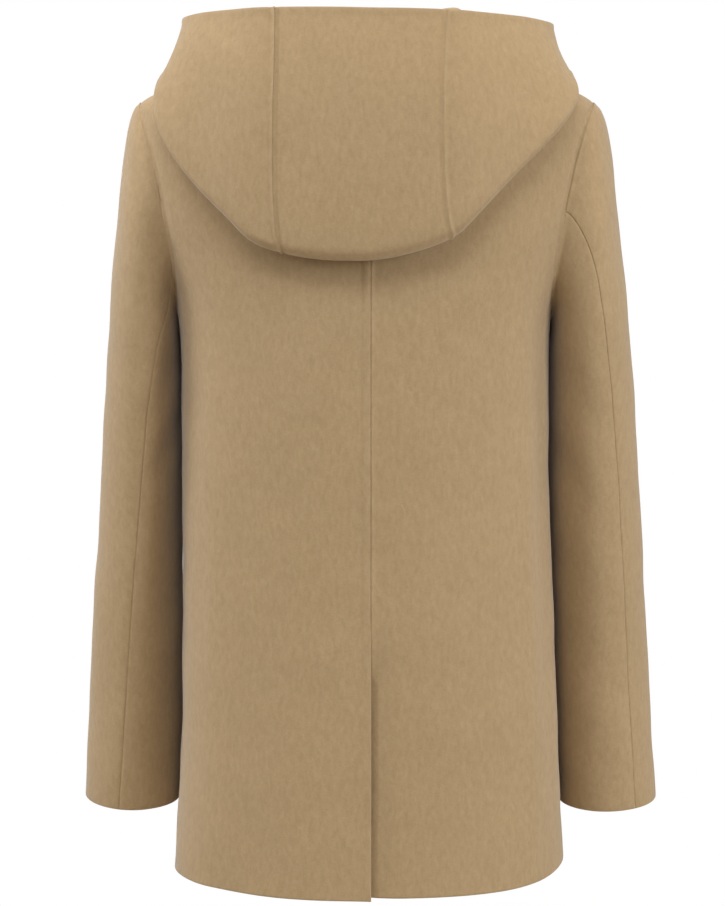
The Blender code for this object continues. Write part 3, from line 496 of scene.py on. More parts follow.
def hood_surface():
    """The hood's outer face as a function of station, negative on the right, and share of the profile."""
    profiles = [hood_profile(-1, row) for row in HOOD[:0:-1]] + [hood_profile(1, row) for row in HOOD]
    knots = []
    for points in profiles:
        chord = np.cumsum(np.sqrt(np.linalg.norm(np.diff(points, axis=0), axis=1)))
        knots.append(np.concatenate([[0.0], chord / chord[-1]]))
    share = np.linspace(0.0, 1.0, HOOD_SAMPLES + 1)
    common = np.mean(knots, axis=0)
    even = np.array([spline(knot, points)(np.interp(share, common, knot))
                     for knot, points in zip(knots, profiles)])
    stations = np.arange(len(even)) - (len(even) - 1) / 2.0
    across = spline(stations, even)

    def at(station, place):
        column = across(station)
        place = np.clip(np.asarray(place, float), 0.0, 1.0) * HOOD_SAMPLES
        i = np.clip(np.floor(place).astype(int), 0, HOOD_SAMPLES - 1)
        t = (place - i)[:, None]
        rows = np.arange(len(column))
        return column[rows, i] * (1.0 - t) + column[rows, i + 1] * t

    return at


# ---- Creases --------------------------------------------------------------------------------------
# Soft troughs (below 0) and ridges (above 0) on the torso: turn and z of one end, turn and z of the other,
# width and height. turn is in degrees from the centre back, positive to the wearer's left.
TORSO_CREASES = (
    (-55.0, -0.300, -53.0, -0.690, 0.020, 0.0016),
    (-67.0, -0.270, -66.0, -0.600, 0.015, -0.0026),
    (-79.0, -0.420, -76.0, -0.700, 0.016, 0.0012),
    (63.0, -0.260, 60.0, -0.520, 0.018, -0.0014),
    (50.0, -0.380, 47.0, -0.700, 0.024, 0.0012),
    (27.0, -0.200, 20.0, -0.330, 0.024, -0.0008),
    (-31.0, -0.205, -24.0, -0.350, 0.022, -0.0009),
    (18.0, -0.600, 14.0, -0.730, 0.026, 0.0010),
    (-22.0, -0.560, -17.0, -0.730, 0.022, 0.0010),
    (112.0, -0.280, 117.0, -0.640, 0.018, -0.0020),
    (125.0, -0.330, 130.0, -0.700, 0.022, 0.0014),
    (-114.0, -0.270, -119.0, -0.560, 0.017, -0.0022),
    (-128.0, -0.350, -131.0, -0.690, 0.020, 0.0015),
    (142.0, -0.150, 150.0, -0.300, 0.024, -0.0010),
    (-140.0, -0.150, -149.0, -0.320, 0.022, -0.0012),
)
# The same on the sleeves, with turn in degrees from the outer side towards the back.
SLEEVE_CREASES = {
    1: (
        (150.0, -0.330, 135.0, -0.690, 0.026, -0.0045),
        (150.0, -0.270, 95.0, -0.345, 0.014, -0.0020),
        (160.0, -0.330, 110.0, -0.390, 0.012, -0.0012),
        (245.0, -0.360, 310.0, -0.400, 0.015, -0.0026),
        (235.0, -0.415, 290.0, -0.440, 0.012, -0.0018),
        (228.0, -0.320, 275.0, -0.345, 0.013, -0.0014),
        (35.0, -0.180, 28.0, -0.420, 0.018, 0.0010),
        (60.0, -0.450, 52.0, -0.640, 0.016, -0.0010),
        (300.0, -0.500, 306.0, -0.640, 0.015, -0.0012),
    ),
    -1: (
        (132.0, -0.300, 122.0, -0.560, 0.024, -0.0030),
        (145.0, -0.275, 88.0, -0.335, 0.015, -0.0022),
        (155.0, -0.345, 105.0, -0.410, 0.013, -0.0014),
        (248.0, -0.370, 305.0, -0.395, 0.014, -0.0024),
        (238.0, -0.430, 285.0, -0.470, 0.012, -0.0016),
        (230.0, -0.310, 270.0, -0.350, 0.014, -0.0016),
        (40.0, -0.200, 30.0, -0.430, 0.017, 0.0010),
        (58.0, -0.480, 50.0, -0.650, 0.018, -0.0011),
        (302.0, -0.490, 310.0, -0.650, 0.016, -0.0010),
    ),
}
# The same on the lying hood, with station and share of the profile.
HOOD_CREASES = (
    (2.3, 0.72, 2.6, 0.90, 0.016, -0.0012),
    (-2.5, 0.70, -2.9, 0.92, 0.017, -0.0014),
    (4.2, 0.74, 4.6, 0.95, 0.014, -0.0010),
    (-4.0, 0.74, -4.4, 0.92, 0.014, -0.0012),
    (6.4, 0.30, 7.4, 0.50, 0.012, -0.0014),
    (-6.2, 0.28, -7.3, 0.52, 0.012, -0.0016),
)
TORSO_RADIUS = 0.15           # metres of arc for one radian of turn
SLEEVE_RADIUS = 0.046
HOOD_STATION = 0.045          # metres across one station
HOOD_LENGTH = 0.36            # metres along the whole profile
CREASE_REACH = 0.25           # a crease runs on past both its ends by this share of its length
CREASE_FADE = 0.55            # and fades in and out over this share


def creases(table, u, v, u_scale, v_scale):
    """Height of the soft creases at places u, v, which the scales turn into metres."""
    height = np.zeros(np.shape(u))
    u, v = np.asarray(u) * u_scale, np.asarray(v) * v_scale
    for u_a, v_a, u_b, v_b, width, rise in table:
        a, b = np.array([u_a * u_scale, v_a * v_scale]), np.array([u_b * u_scale, v_b * v_scale])
        line = b - a
        share = ((u - a[0]) * line[0] + (v - a[1]) * line[1]) / line.dot(line)
        share = np.clip(share, -CREASE_REACH, 1.0 + CREASE_REACH)
        away = np.hypot(u - a[0] - share * line[0], v - a[1] - share * line[1])
        fade = ease((share + CREASE_REACH) / CREASE_FADE) * ease((1.0 + CREASE_REACH - share) / CREASE_FADE)
        height += rise * np.exp(-(away / width) ** 2) * fade
    return height


# Slow unevenness of hanging cloth: waves per metre along x, y, z, phase and height.
WAVES = (
    (11.0, 5.0, 7.0, 0.4, 0.00025),
    (-7.0, 9.0, 13.0, 2.1, 0.00020),
    (17.0, -6.0, -9.0, 4.0, 0.00014),
    (5.0, 15.0, 19.0, 1.2, 0.00012),
    (23.0, 11.0, -15.0, 5.2, 0.00008),
)


def unevenness(points):
    """Height of the slow waves at these points."""
    height = np.zeros(points.shape[:-1])
    for x, y, z, phase, rise in WAVES:
        height += rise * np.sin(2.0 * np.pi * (points @ np.array([x, y, z])) + phase)
    return height


# ---- Fine cloth -----------------------------------------------------------------------------------
EDGE_STEPS = (0.0, 0.0003, 0.0008, 0.0015, 0.0028)       # distances from an edge where points lie close
BAND_STEPS = EDGE_STEPS + (0.0045, 0.0062, 0.0071, 0.0078, 0.0085, 0.0096, 0.012)
RIDGE_STEPS = EDGE_STEPS + (0.0036, 0.0044, 0.0052, 0.0065)
EDGE_ROUND = 0.0013           # radius of the cloth's rounded free edges
SEAM_WIDTH = 0.0022           # half the width of the soft groove at a seam
SEAM_DEPTH = 0.0008
ROUND, GROOVE, FLUSH = "round", "groove", "flush"        # what a piece's edge looks like
BAND_WIDTH = 0.0078           # the lapped centre back seam
BAND_RISE = 0.0014
VENT_ROLL = 0.0005            # the vent's top flap lifts this much along its edge
RIDGE_WIDTH = 0.0016          # half the width of the ridge along the hood's and armholes' seams
RIDGE_RISE = 0.0010
RIDGE_HOLLOW_AT = 2.6 * RIDGE_WIDTH      # a soft hollow lies beside the ridge at this distance
RIDGE_HOLLOW_WIDTH = 1.3 * RIDGE_WIDTH   # with half this width
RIDGE_HOLLOW_SHARE = 0.45     # and this share of the ridge's height
HOLLOW_WIDTH = 0.0016         # half the width of the hollow along the hood's strip
HOLLOW_DEPTH = 0.0007
VENT_SHADE = 0.0018           # the underlap hangs this much deeper beside the flap's edge
VENT_SHADE_WIDTH = 0.0070
SEAM_ROLL = 0.0012            # a bump rises from its edge over this width
BUMP_START = 0.15             # share of that width already passed at the edge
BUMP_FLAT = 0.6               # share of a bump's width where it begins to fall
BUMP_FALL = 0.55              # and the share over which it falls
VENT_BAND = (-0.012, 0.02)    # the seam looks closed from this place at the vent's top over this stretch
BAND_FAR_RISE = 0.6 * BAND_RISE          # the band on the right back
BAND_FAR_WIDTH = 0.0035
ARMHOLE_RIDGE_LOW = (0.0, 0.02)          # the armhole's ridge grows from the armpit up over this stretch
ARMHOLE_RIDGE_HIGH = (-0.004, 0.006)     # and ends at the shoulder, from this place over this stretch
FOLDS_HIGH = (-0.14, 0.06)    # the body's folds end under the hood from this height over this stretch
FOLDS_LOW = (-0.76, 0.04)     # and its creases grow from this height, below the hem
SLEEVE_CALM = 0.12            # the sleeve's folds grow over this share of its way
HOOD_CALM = 0.3               # and the hood's over this share of its profile
HOOD_UNEVEN = 0.8             # share of the slow unevenness that the hood has

FINE = 5                      # fine rows for each coarse one
BACK_CELLS, FRONT_CELLS = 30, 36         # even steps across each piece
SLEEVE_TOP_CELLS, SLEEVE_UNDER_CELLS = 56, 30
STRIP_CELLS, HOOD_SIDE_CELLS = 30, 70
BODY_SAMPLES, SLEEVE_SAMPLES, HOOD_ROW_SAMPLES = 241, 181, 161  # points on a row before it is respaced
ROW_PASSES = 6                # rounds in which the start of a body row settles
NECK_MARGIN, NECK_SAMPLES = 2.0, 1841    # degrees past both centres, and places where the neckline is known
LAP_CELLS, LAP_START = 12, 0.004         # even steps across the underlap, and where they begin
SLEEVE_ROWS = 96
CUFF_SPEED = 0.95             # metres that a sleeve runs down for one whole way, at its cuff
HOOD_ROWS, HOOD_EVEN = 110, 0.985        # even rows of the hood, and the share of the profile that they fill
HOOD_LAST_ROWS = (0.010, 0.0075, 0.005, 0.0035, 0.002, 0.0009)  # shares left at the rows beyond them


def running_length(points, axis):
    """Distance of each point from the first one along its row or column."""
    step = np.linalg.norm(np.diff(points, axis=axis), axis=2)
    shape = list(points.shape[:2])
    shape[axis] = 1
    return np.concatenate([np.zeros(shape), np.cumsum(step, axis=axis)], axis=axis)


def from_edges(points, axis):
    """Distances of each point from the first and from the last one of its column, 0, or row, 1."""
    length = running_length(points, axis)
    return length, np.take(length, [-1], axis) - length


def spread(length, first, last, count):
    """Distances along a row: close together at its two edges and even between."""
    inner = np.linspace(first[-1], length - last[-1], count + 1)
    return np.concatenate([first[:-1], inner, length - np.array(last[:-1])[::-1]])


def respaced(path, params, first, last, count):
    """The parameters of a row's points at the distances that spread gives."""
    length = running_length(path[None], 1)[0]
    where = spread(length[-1], first, last, count)
    return [np.interp(where, length, param) for param in params]


def edge_drop(distance, kind):
    """How far a face sinks beside an edge: a round free edge, the soft groove of a seam, or nothing."""
    if kind == ROUND:
        near = 1.0 - np.clip(distance / EDGE_ROUND, 0.0, 1.0)
        return EDGE_ROUND * (1.0 - np.sqrt(1.0 - near ** 2))
    depth = SEAM_DEPTH if kind == GROOVE else 0.0
    return depth * np.clip(1.0 - distance / SEAM_WIDTH, 0.0, 1.0) ** 2


def cloth(name, outer, normals, fold, ridge, kinds, cells=None):
    """One closed piece of cloth. fold moves both faces, ridge the outer one alone.

    kinds are the kinds of its edges: first and last column, first and last row.
    """
    rows, cols = outer.shape[:2]
    distances = *from_edges(outer, 1), *from_edges(outer, 0)
    drop = np.maximum.reduce([edge_drop(away, kind) for away, kind in zip(distances, kinds)])
    top = outer + (fold + ridge - drop)[..., None] * normals
    bottom = outer + (fold - CLOTH + drop)[..., None] * normals
    cells = np.ones((rows - 1, cols - 1), bool) if cells is None else cells
    used = np.zeros((rows, cols), bool)
    for di in (0, 1):
        for dj in (0, 1):
            used[di:rows - 1 + di, dj:cols - 1 + dj] |= cells
    number = -np.ones((rows, cols), int)
    number[used] = np.arange(used.sum())
    count = int(used.sum())
    i, j = np.nonzero(cells)
    quads = np.stack([number[i, j], number[i, j + 1], number[i + 1, j + 1], number[i + 1, j]], axis=1)
    padded = np.zeros((rows + 1, cols + 1), bool)
    padded[1:-1, 1:-1] = cells
    rims = []
    for di, dj, p, q in ((-1, 0, 0, 1), (0, 1, 1, 2), (1, 0, 2, 3), (0, -1, 3, 0)):
        edge = ~padded[i + 1 + di, j + 1 + dj]
        a, b = quads[edge, p], quads[edge, q]
        rims.append(np.stack([b, a, a + count, b + count], axis=1))
    faces = np.concatenate([quads, quads[:, ::-1] + count] + rims)
    k = len(i) // 2
    side_a = outer[i[k], j[k] + 1] - outer[i[k], j[k]]
    side_b = outer[i[k] + 1, j[k]] - outer[i[k], j[k]]
    if np.dot(np.cross(side_a, side_b), normals[i[k], j[k]]) < 0.0:
        faces = faces[:, ::-1]
    mesh = bpy.data.meshes.new(name + "_cloth")
    mesh.from_pydata(np.concatenate([top[used], bottom[used]]).tolist(), [], faces.tolist())
    mesh.shade_smooth()
    mesh.update()
    piece = bpy.data.objects.new(name + "_cloth", mesh)
    bpy.context.scene.collection.objects.link(piece)
    piece.data.materials.append(WOOL)
    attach(piece, "root")
    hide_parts(name)


def bump_up(distance, width, rise):
    """A flat ridge beside an edge: it rises from the edge itself and ends softly at its width."""
    fall = ease((distance - BUMP_FLAT * width) / (BUMP_FALL * width))
    return rise * ease(distance / SEAM_ROLL + BUMP_START) * (1.0 - fall)


def seam_ridge(distance):
    """A narrow ridge along a seam, highest at the seam itself, with a soft hollow beside it."""
    hollow = np.exp(-((distance - RIDGE_HOLLOW_AT) / RIDGE_HOLLOW_WIDTH) ** 2)
    return RIDGE_RISE * (np.exp(-(distance / RIDGE_WIDTH) ** 2) - RIDGE_HOLLOW_SHARE * hollow)


def seam_hollow(distance):
    """The soft hollow that the hood's strip keeps beside its left seam."""
    return -HOLLOW_DEPTH * np.exp(-((distance - HOLLOW_WIDTH) / HOLLOW_WIDTH) ** 2)


# ---- Body pieces ----------------------------------------------------------------------------------
NECK_TURNS = np.linspace(-NECK_MARGIN, 180.0 + NECK_MARGIN, NECK_SAMPLES)
NECK_HEIGHTS = neck_z(NECK_TURNS)


def neck_height(turn):
    """Height of the neckline at a turn."""
    return np.interp(turn, NECK_TURNS, NECK_HEIGHTS)


def fine_armhole_turns(side, face):
    """Turns round the sleeve along one face of the armhole, from the shoulder to the armpit."""
    to_seam, to_pit, from_pit, to_shoulder = [FINE * steps for steps in ARMHOLE_STEPS]
    if face == "back":
        start, seam, above, below = 0.0, float(SLEEVE_BACK_SEAM[side](0.0)), to_seam, to_pit
    else:
        start, seam, above, below = 360.0, float(SLEEVE_FRONT_SEAM(0.0)), to_shoulder, from_pit
    return np.concatenate([np.linspace(start, seam, above + 1), np.linspace(seam, 180.0, below + 1)[1:]])


def body_edge(side, face):
    """Turn and height of the outer edge's points from hem to neck, and each row's height at the centre."""
    low = np.concatenate([
        HEM_Z + np.array(EDGE_STEPS[:-1]),
        np.linspace(HEM_Z + EDGE_STEPS[-1], VENT_TOP_Z, FINE * VENT_ROWS + 1)[:-1],
        np.linspace(VENT_TOP_Z, ARMPIT_Z, FINE * SIDE_ROWS + 1)[:-1],
    ])
    hole = armhole_z(fine_armhole_turns(side, face))[::-1]
    top = np.linspace(SHOULDER_Z, 0.0, FINE * SHOULDER_ROWS + 1)[1:]
    z = np.concatenate([low, hole, top])
    level = np.concatenate([low, np.linspace(ARMPIT_Z, SHOULDER_Z, len(hole)), top])
    sign = 1.0 if face == "back" else -1.0
    turn = turn_at_y(sign * SEAM_GAP / 2.0, z)
    in_hole = (z > ARMPIT_Z + NEAR) & (z < SHOULDER_Z - NEAR)
    hole_turn = turn_at_x(side, ARMHOLE_X[face][side](z[in_hole]), z[in_hole])
    turn[in_hole] = hole_turn if face == "back" else 180.0 - hole_turn
    return turn, z, level


def body_row(side, centre_x, edge_turn, edge_z, level, face, steps, count):
    """Turns and heights of one row of a body panel."""
    share = np.linspace(0.0, 1.0, BODY_SAMPLES)
    blend = ease((level - FAN_START_Z) / -FAN_START_Z)
    start_z = level
    for _ in range(ROW_PASSES):
        start = float(turn_at_x(side, centre_x, start_z))
        start = start if face == "back" else 180.0 - start
        start_z = level + float(neck_height(start)) * blend
    turn = start + (edge_turn - start) * share
    z = level + (edge_z - level) * share ** 2 + (neck_height(turn) - neck_height(edge_turn) * share) * blend
    return respaced(torso(side, turn, z), (turn, z), steps, RIDGE_STEPS, count)


def body_grid(side, face, centre_x, steps, count):
    """Turns and heights of a body panel's points, and where its armhole and centre edges are near."""
    edge_turn, edge_z, level = body_edge(side, face)
    rows = [body_row(side, centre_x, *point, face, steps, count) for point in zip(edge_turn, edge_z, level)]
    turn, z = np.array([row[0] for row in rows]), np.array([row[1] for row in rows])
    hole = grown(edge_z - ARMPIT_Z, ARMHOLE_RIDGE_LOW)
    hole = hole * (1.0 - grown(edge_z - SHOULDER_Z, ARMHOLE_RIDGE_HIGH))
    return turn, z + hem_lift(side, turn, z), hole[:, None]


def torso_fold(side, turn, z, points):
    """How far the body's cloth hangs out from its smooth surface."""
    folds = creases(TORSO_CREASES, side * turn, z, np.radians(1.0) * TORSO_RADIUS, 1.0) * grown(z, FOLDS_LOW)
    return (folds + unevenness(points)) * (1.0 - grown(z, FOLDS_HIGH))


def make_back_left():
    """The left back, with the lapped band of the centre seam and the vent's top flap."""
    side = 1
    turn, z, hole = body_grid(side, "back", BACK_SEAM_X + SEAM_GAP / 2.0, BAND_STEPS, BACK_CELLS)
    outer, normals = torso(side, turn, z), torso_normal(side, turn, z)
    from_seam, from_armhole = from_edges(outer, 1)
    above = grown(z - VENT_TOP_Z, VENT_BAND)
    band = bump_up(from_seam, BAND_WIDTH, BAND_RISE)
    roll = VENT_ROLL * (1.0 - ease(from_seam / BAND_WIDTH)) - edge_drop(from_seam, ROUND)
    ridge = band * above + roll * (1.0 - above) + hole * seam_ridge(from_armhole)
    cloth("back_left", outer, normals, torso_fold(side, turn, z, outer), ridge, (FLUSH, FLUSH, ROUND, FLUSH))


def make_back_right():
    """The right back, with the vent's underlap, which hangs behind the top flap."""
    side = -1
    seam = side * BACK_SEAM_X + SEAM_GAP / 2.0
    turn, z, hole = body_grid(side, "back", seam, BAND_STEPS, BACK_CELLS)
    lap_x = np.concatenate([EDGE_STEPS, np.linspace(LAP_START, VENT_UNDERLAP, LAP_CELLS + 1)[:-1]])
    lap_x = seam - VENT_UNDERLAP + lap_x
    lap_z = np.repeat(z[:, :1], len(lap_x), axis=1)
    lap_turn = turn_at_x(side, lap_x[None, :], lap_z)
    turn, z = np.concatenate([lap_turn, turn], axis=1), np.concatenate([lap_z, z], axis=1)
    outer, normals = torso(side, turn, z), torso_normal(side, turn, z)
    from_seam = side * outer[..., 0] - seam
    below = 1.0 - ease((z - VENT_TOP_Z) / VENT_FADE)
    drop = (CLOTH + LAP_GAP) * (1.0 - ease((from_seam - VENT_FLAT) / VENT_RAMP)) * below
    open_vent = 1.0 - grown(z - VENT_TOP_Z, VENT_BAND)
    drop = drop + VENT_SHADE * (1.0 - ease(np.abs(from_seam) / VENT_SHADE_WIDTH)) * open_vent
    ridge = hole * seam_ridge(from_edges(outer, 1)[1])
    ridge = ridge + BAND_FAR_RISE * (1.0 - ease(np.abs(from_seam) / BAND_FAR_WIDTH)) * (1.0 - open_vent)
    cells = np.ones((z.shape[0] - 1, z.shape[1] - 1), bool)
    cells[:, :len(lap_x)] = z[1:, :len(lap_x)] < VENT_TOP_Z + NEAR
    cloth("back_right", outer, normals, torso_fold(side, turn, z, outer) - drop, ridge,
          (ROUND, FLUSH, ROUND, FLUSH), cells)


def make_front(side):
    """A front; the right one rises onto the left one at the centre."""
    turn, z, hole = body_grid(side, "front", -FRONT_OVERLAP, EDGE_STEPS, FRONT_CELLS)
    outer, normals = torso(side, turn, z), torso_normal(side, turn, z)
    fold = torso_fold(side, turn, z, outer)
    if side < 0:
        fold = fold + (CLOTH + LAP_GAP) * (1.0 - ease((side * outer[..., 0] - FRONT_RAMP_START) / FRONT_RAMP))
    ridge = hole * seam_ridge(from_edges(outer, 1)[1])
    cloth("front_" + side_name(side), outer, normals, fold, ridge, (ROUND, FLUSH, ROUND, FLUSH))


# ---- Sleeve pieces --------------------------------------------------------------------------------
def sleeve_piece(name, side, first_seam, last_seam, count):
    """A sleeve piece between two seams, each a turn as a function of the way."""
    near_cuff = 1.0 - np.array(EDGE_STEPS[-2:0:-1]) / CUFF_SPEED
    way = np.concatenate([np.linspace(0.0, 1.0, SLEEVE_ROWS), near_cuff, [1.0]])
    way = np.unique(np.round(way, 6))[:, None]
    first, last = first_seam(way), last_seam(way)
    for edge, sign in ((first, 1.0), (last, -1.0)):
        degree = sleeve(side, edge + 0.5, way) - sleeve(side, edge - 0.5, way)
        seam_way = unit(np.gradient(sleeve(side, edge, way)[:, 0], axis=0))[:, None]
        speed = np.linalg.norm(np.cross(degree, seam_way), axis=-1)
        edge += sign * SEAM_SETBACK / np.maximum(speed, 1e-4)
    turn = []
    for start, end, down in zip(first[:, 0], last[:, 0], way[:, 0]):
        dense = np.linspace(start, end, SLEEVE_SAMPLES)
        turn.append(respaced(sleeve(side, dense, down), (dense,), EDGE_STEPS, EDGE_STEPS, count)[0])
    turn = np.array(turn)
    way = np.broadcast_to(way, turn.shape)
    outer, normals = sleeve(side, turn, way), sleeve_normal(side, turn, way)
    round_turn = np.mod(turn, 360.0)
    calm = ease(way / SLEEVE_CALM)
    fold = creases(SLEEVE_CREASES[side], round_turn, outer[..., 2], np.radians(1.0) * SLEEVE_RADIUS, 1.0)
    ridge = seam_ridge(running_length(outer, 0))
    cloth(name, outer, normals, (fold + unevenness(outer)) * calm, ridge, (GROOVE, GROOVE, FLUSH, ROUND))


def make_sleeve(side):
    """The top and the under piece of a sleeve."""
    back, front = SLEEVE_BACK_SEAM[side], SLEEVE_FRONT_SEAM
    name = "sleeve_" + side_name(side)
    sleeve_piece(name + "_top", side, lambda way: front(way) - 360.0, back, SLEEVE_TOP_CELLS)
    sleeve_piece(name + "_under", side, back, front, SLEEVE_UNDER_CELLS)


# ---- Hood pieces ----------------------------------------------------------------------------------
HOOD_HEM = 0.0065             # the turned free edge's width
HOOD_HEM_RISE = 0.0005


def hood_piece(name, surface, first_seam, last_seam, count, reliefs, kinds):
    """A hood piece between two stations, each a function of the share of the profile.

    reliefs gives the shape beside each of its two long edges, kinds what these edges look like.
    """
    share = np.concatenate([np.linspace(0.0, HOOD_EVEN, HOOD_ROWS), 1.0 - np.array(HOOD_LAST_ROWS), [1.0]])
    station = []
    for place, first, last in zip(share, first_seam(share), last_seam(share)):
        dense = np.linspace(first, last, HOOD_ROW_SAMPLES)
        path = surface(dense, np.full(dense.shape, place))
        station.append(respaced(path, (dense,), RIDGE_STEPS, RIDGE_STEPS, count)[0])
    station = np.array(station)
    place = np.broadcast_to(share[:, None], station.shape)
    shape = station.shape
    flat_station, flat_place = station.ravel(), place.ravel()
    step, down = 0.02, 0.006
    outer = surface(flat_station, flat_place)
    across = surface(flat_station + step, flat_place) - surface(flat_station - step, flat_place)
    along = (surface(flat_station, np.clip(flat_place + down, 0.0, 1.0))
             - surface(flat_station, np.clip(flat_place - down, 0.0, 1.0)))
    normals = unit(np.cross(along, across)).reshape(*shape, 3)
    outer = outer.reshape(*shape, 3)
    ridge = np.zeros(shape)
    for relief, distance in zip(reliefs, from_edges(outer, 1)):
        if relief is not None:
            ridge = ridge + relief(distance)
    ridge = ridge + bump_up(from_edges(outer, 0)[1], HOOD_HEM, HOOD_HEM_RISE)
    fold = creases(HOOD_CREASES, station, place, HOOD_STATION, HOOD_LENGTH) + HOOD_UNEVEN * unevenness(outer)
    fold = fold * ease(place / HOOD_CALM)
    cloth(name, outer, normals, fold, ridge, kinds + (FLUSH, ROUND))


def make_hood():
    """The hood's centre strip and its two sides."""
    surface, gap = hood_surface(), STATION_SETBACK
    seams = curves(STRIP_SEAM_COLUMNS, STRIP_SEAM)
    left, right = seams["left"], seams["right"]

    def end(share):
        return np.full_like(share, len(HOOD) - 1.0)

    hood_piece("hood_centre", surface, lambda share: gap - right(share), lambda share: left(share) - gap,
               STRIP_CELLS, (seam_ridge, seam_hollow), (FLUSH, FLUSH))
    hood_piece("hood_left", surface, lambda share: left(share) + gap, end,
               HOOD_SIDE_CELLS, (seam_ridge, None), (FLUSH, ROUND))
    hood_piece("hood_right", surface, lambda share: -end(share), lambda share: -right(share) - gap,
               HOOD_SIDE_CELLS, (None, seam_ridge), (ROUND, FLUSH))


# ---- Materials ------------------------------------------------------------------------------------
# A noise: scale, detail, roughness, stretch and turn of its grain, distortion. Tones: place and colour.
FLECKS = (260.0, 5.0, 0.62, (1.0, 1.0, 0.45), (0.35, 0.2, 0.5), 0.4)
FIBRES = (900.0, 4.0, 0.7, (0.35, 1.0, 1.0), (0.3, 0.6, 0.4), 0.6)
CLOUDS = (9.0, 3.0, 0.5)
FLECK_TONES = ((0.30, (0.348, 0.243, 0.131)), (0.50, (0.380, 0.268, 0.147)), (0.72, (0.412, 0.295, 0.166)))
FIBRE_TONES = ((0.28, (0.94, 0.94, 0.93)), (0.72, (1.06, 1.06, 1.065)))
CLOUD_TONES = ((0.3, (0.975, 0.973, 0.968)), (0.7, (1.022, 1.022, 1.025)))
FLECK_BUMP = (0.30, 0.0006)   # strength and height
FIBRE_BUMP = (0.45, 0.00025)
WOOL_SURFACE = {"Roughness": 0.92, "Specular IOR Level": 0.18, "Sheen Weight": 0.29,
                "Sheen Roughness": 0.45, "Sheen Tint": (0.93, 0.95, 1.0, 1.0)}
STREAKS = (120.0, 5.0, 0.5, (1.0, 1.0, 4.0), (0.0, 0.5, 0.3), 1.2)
STREAK_TONES = ((0.35, (0.030, 0.016, 0.008)), (0.75, (0.170, 0.095, 0.045)))
STREAK_BUMP = (0.08, 0.0004)
HORN_SURFACE = {"Roughness": 0.28}
FLOOR_SURFACE = {"Base Color": (0.66, 0.65, 0.63, 1.0), "Roughness": 0.8}


def add_node(tree, kind, values=None):
    """A new node with values at its named inputs."""
    node = tree.nodes.new(kind)
    for name, value in (values or {}).items():
        node.inputs[name].default_value = value
    return node


def noise(tree, scale, detail, rough, stretch=(1.0, 1.0, 1.0), turn=(0.0, 0.0, 0.0), distortion=0.0):
    """A noise that is fixed to the object."""
    place = add_node(tree, "ShaderNodeTexCoord")
    mapping = add_node(tree, "ShaderNodeMapping", {"Scale": stretch, "Rotation": turn})
    texture = add_node(tree, "ShaderNodeTexNoise", {"Scale": scale, "Detail": detail, "Roughness": rough,
                                                    "Distortion": distortion})
    tree.links.new(place.outputs["Object"], mapping.inputs["Vector"])
    tree.links.new(mapping.outputs["Vector"], texture.inputs["Vector"])
    return texture.outputs["Fac"]


def ramp(tree, fac, tones):
    """Colours that run from tone to tone."""
    node = add_node(tree, "ShaderNodeValToRGB")
    elements = node.color_ramp.elements
    while len(elements) < len(tones):
        elements.new(0.5)
    for element, (where, colour) in zip(elements, tones):
        element.position = where
        element.color = (*colour, 1.0)
    tree.links.new(fac, node.inputs["Fac"])
    return node.outputs["Color"]


def product(tree, first, second):
    """One colour multiplied by another."""
    node = add_node(tree, "ShaderNodeMix")
    node.data_type = "RGBA"
    node.blend_type = "MULTIPLY"
    node.inputs["Factor"].default_value = 1.0
    tree.links.new(first, node.inputs[6])
    tree.links.new(second, node.inputs[7])
    return node.outputs[2]


def bump(tree, height, strength_and_height, below=None):
    """Relief from a height, on top of another relief where there is one."""
    strength, distance = strength_and_height
    node = add_node(tree, "ShaderNodeBump", {"Strength": strength, "Distance": distance})
    tree.links.new(height, node.inputs["Height"])
    if below is not None:
        tree.links.new(below, node.inputs["Normal"])
    return node.outputs["Normal"]


def new_look(name, surface):
    """A material with values set on its surface, and the surface's node."""
    material = bpy.data.materials.new(name)
    material.use_nodes = True
    shader = material.node_tree.nodes["Principled BSDF"]
    for key, value in surface.items():
        shader.inputs[key].default_value = value
    return material, shader


def make_wool():
    """Brushed double-faced wool: camel fibres in slightly different tones, laid over each other."""
    material, shader = new_look("camel_wool", WOOL_SURFACE)
    tree = material.node_tree
    flecks, fibres, clouds = noise(tree, *FLECKS), noise(tree, *FIBRES), noise(tree, *CLOUDS)
    colour = product(tree, ramp(tree, flecks, FLECK_TONES), ramp(tree, fibres, FIBRE_TONES))
    colour = product(tree, colour, ramp(tree, clouds, CLOUD_TONES))
    relief = bump(tree, fibres, FIBRE_BUMP, bump(tree, flecks, FLECK_BUMP))
    tree.links.new(colour, shader.inputs["Base Color"])
    tree.links.new(relief, shader.inputs["Normal"])
    return material


def make_horn():
    """Dark polished horn with soft streaks."""
    material, shader = new_look("dark_horn", HORN_SURFACE)
    tree = material.node_tree
    streaks = noise(tree, *STREAKS)
    tree.links.new(ramp(tree, streaks, STREAK_TONES), shader.inputs["Base Color"])
    tree.links.new(bump(tree, streaks, STREAK_BUMP), shader.inputs["Normal"])
    return material


# ---- The garment ----------------------------------------------------------------------------------
WOOL = make_wool()
HORN = make_horn()
for side, make_back in ((1, make_back_left), (-1, make_back_right)):
    make_back()
    make_front(side)
    make_sleeve(side)
make_hood()
for index in range(BUTTON_COUNT):
    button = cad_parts["button_%d" % (index + 1)]
    for place in button.material_slots:
        place.material = HORN


# ---- Stage ----------------------------------------------------------------------------------------
FLOOR_Z = -1.38
FLOOR_RADIUS = 2.2
FLOOR_CORNERS = 96
NEUTRAL, COOL, COOLEST = (1.0, 1.0, 1.0), (0.96, 1.0, 1.05), (0.97, 1.0, 1.08)
BODY_MIDDLE = (0.0, 0.0, -0.33)
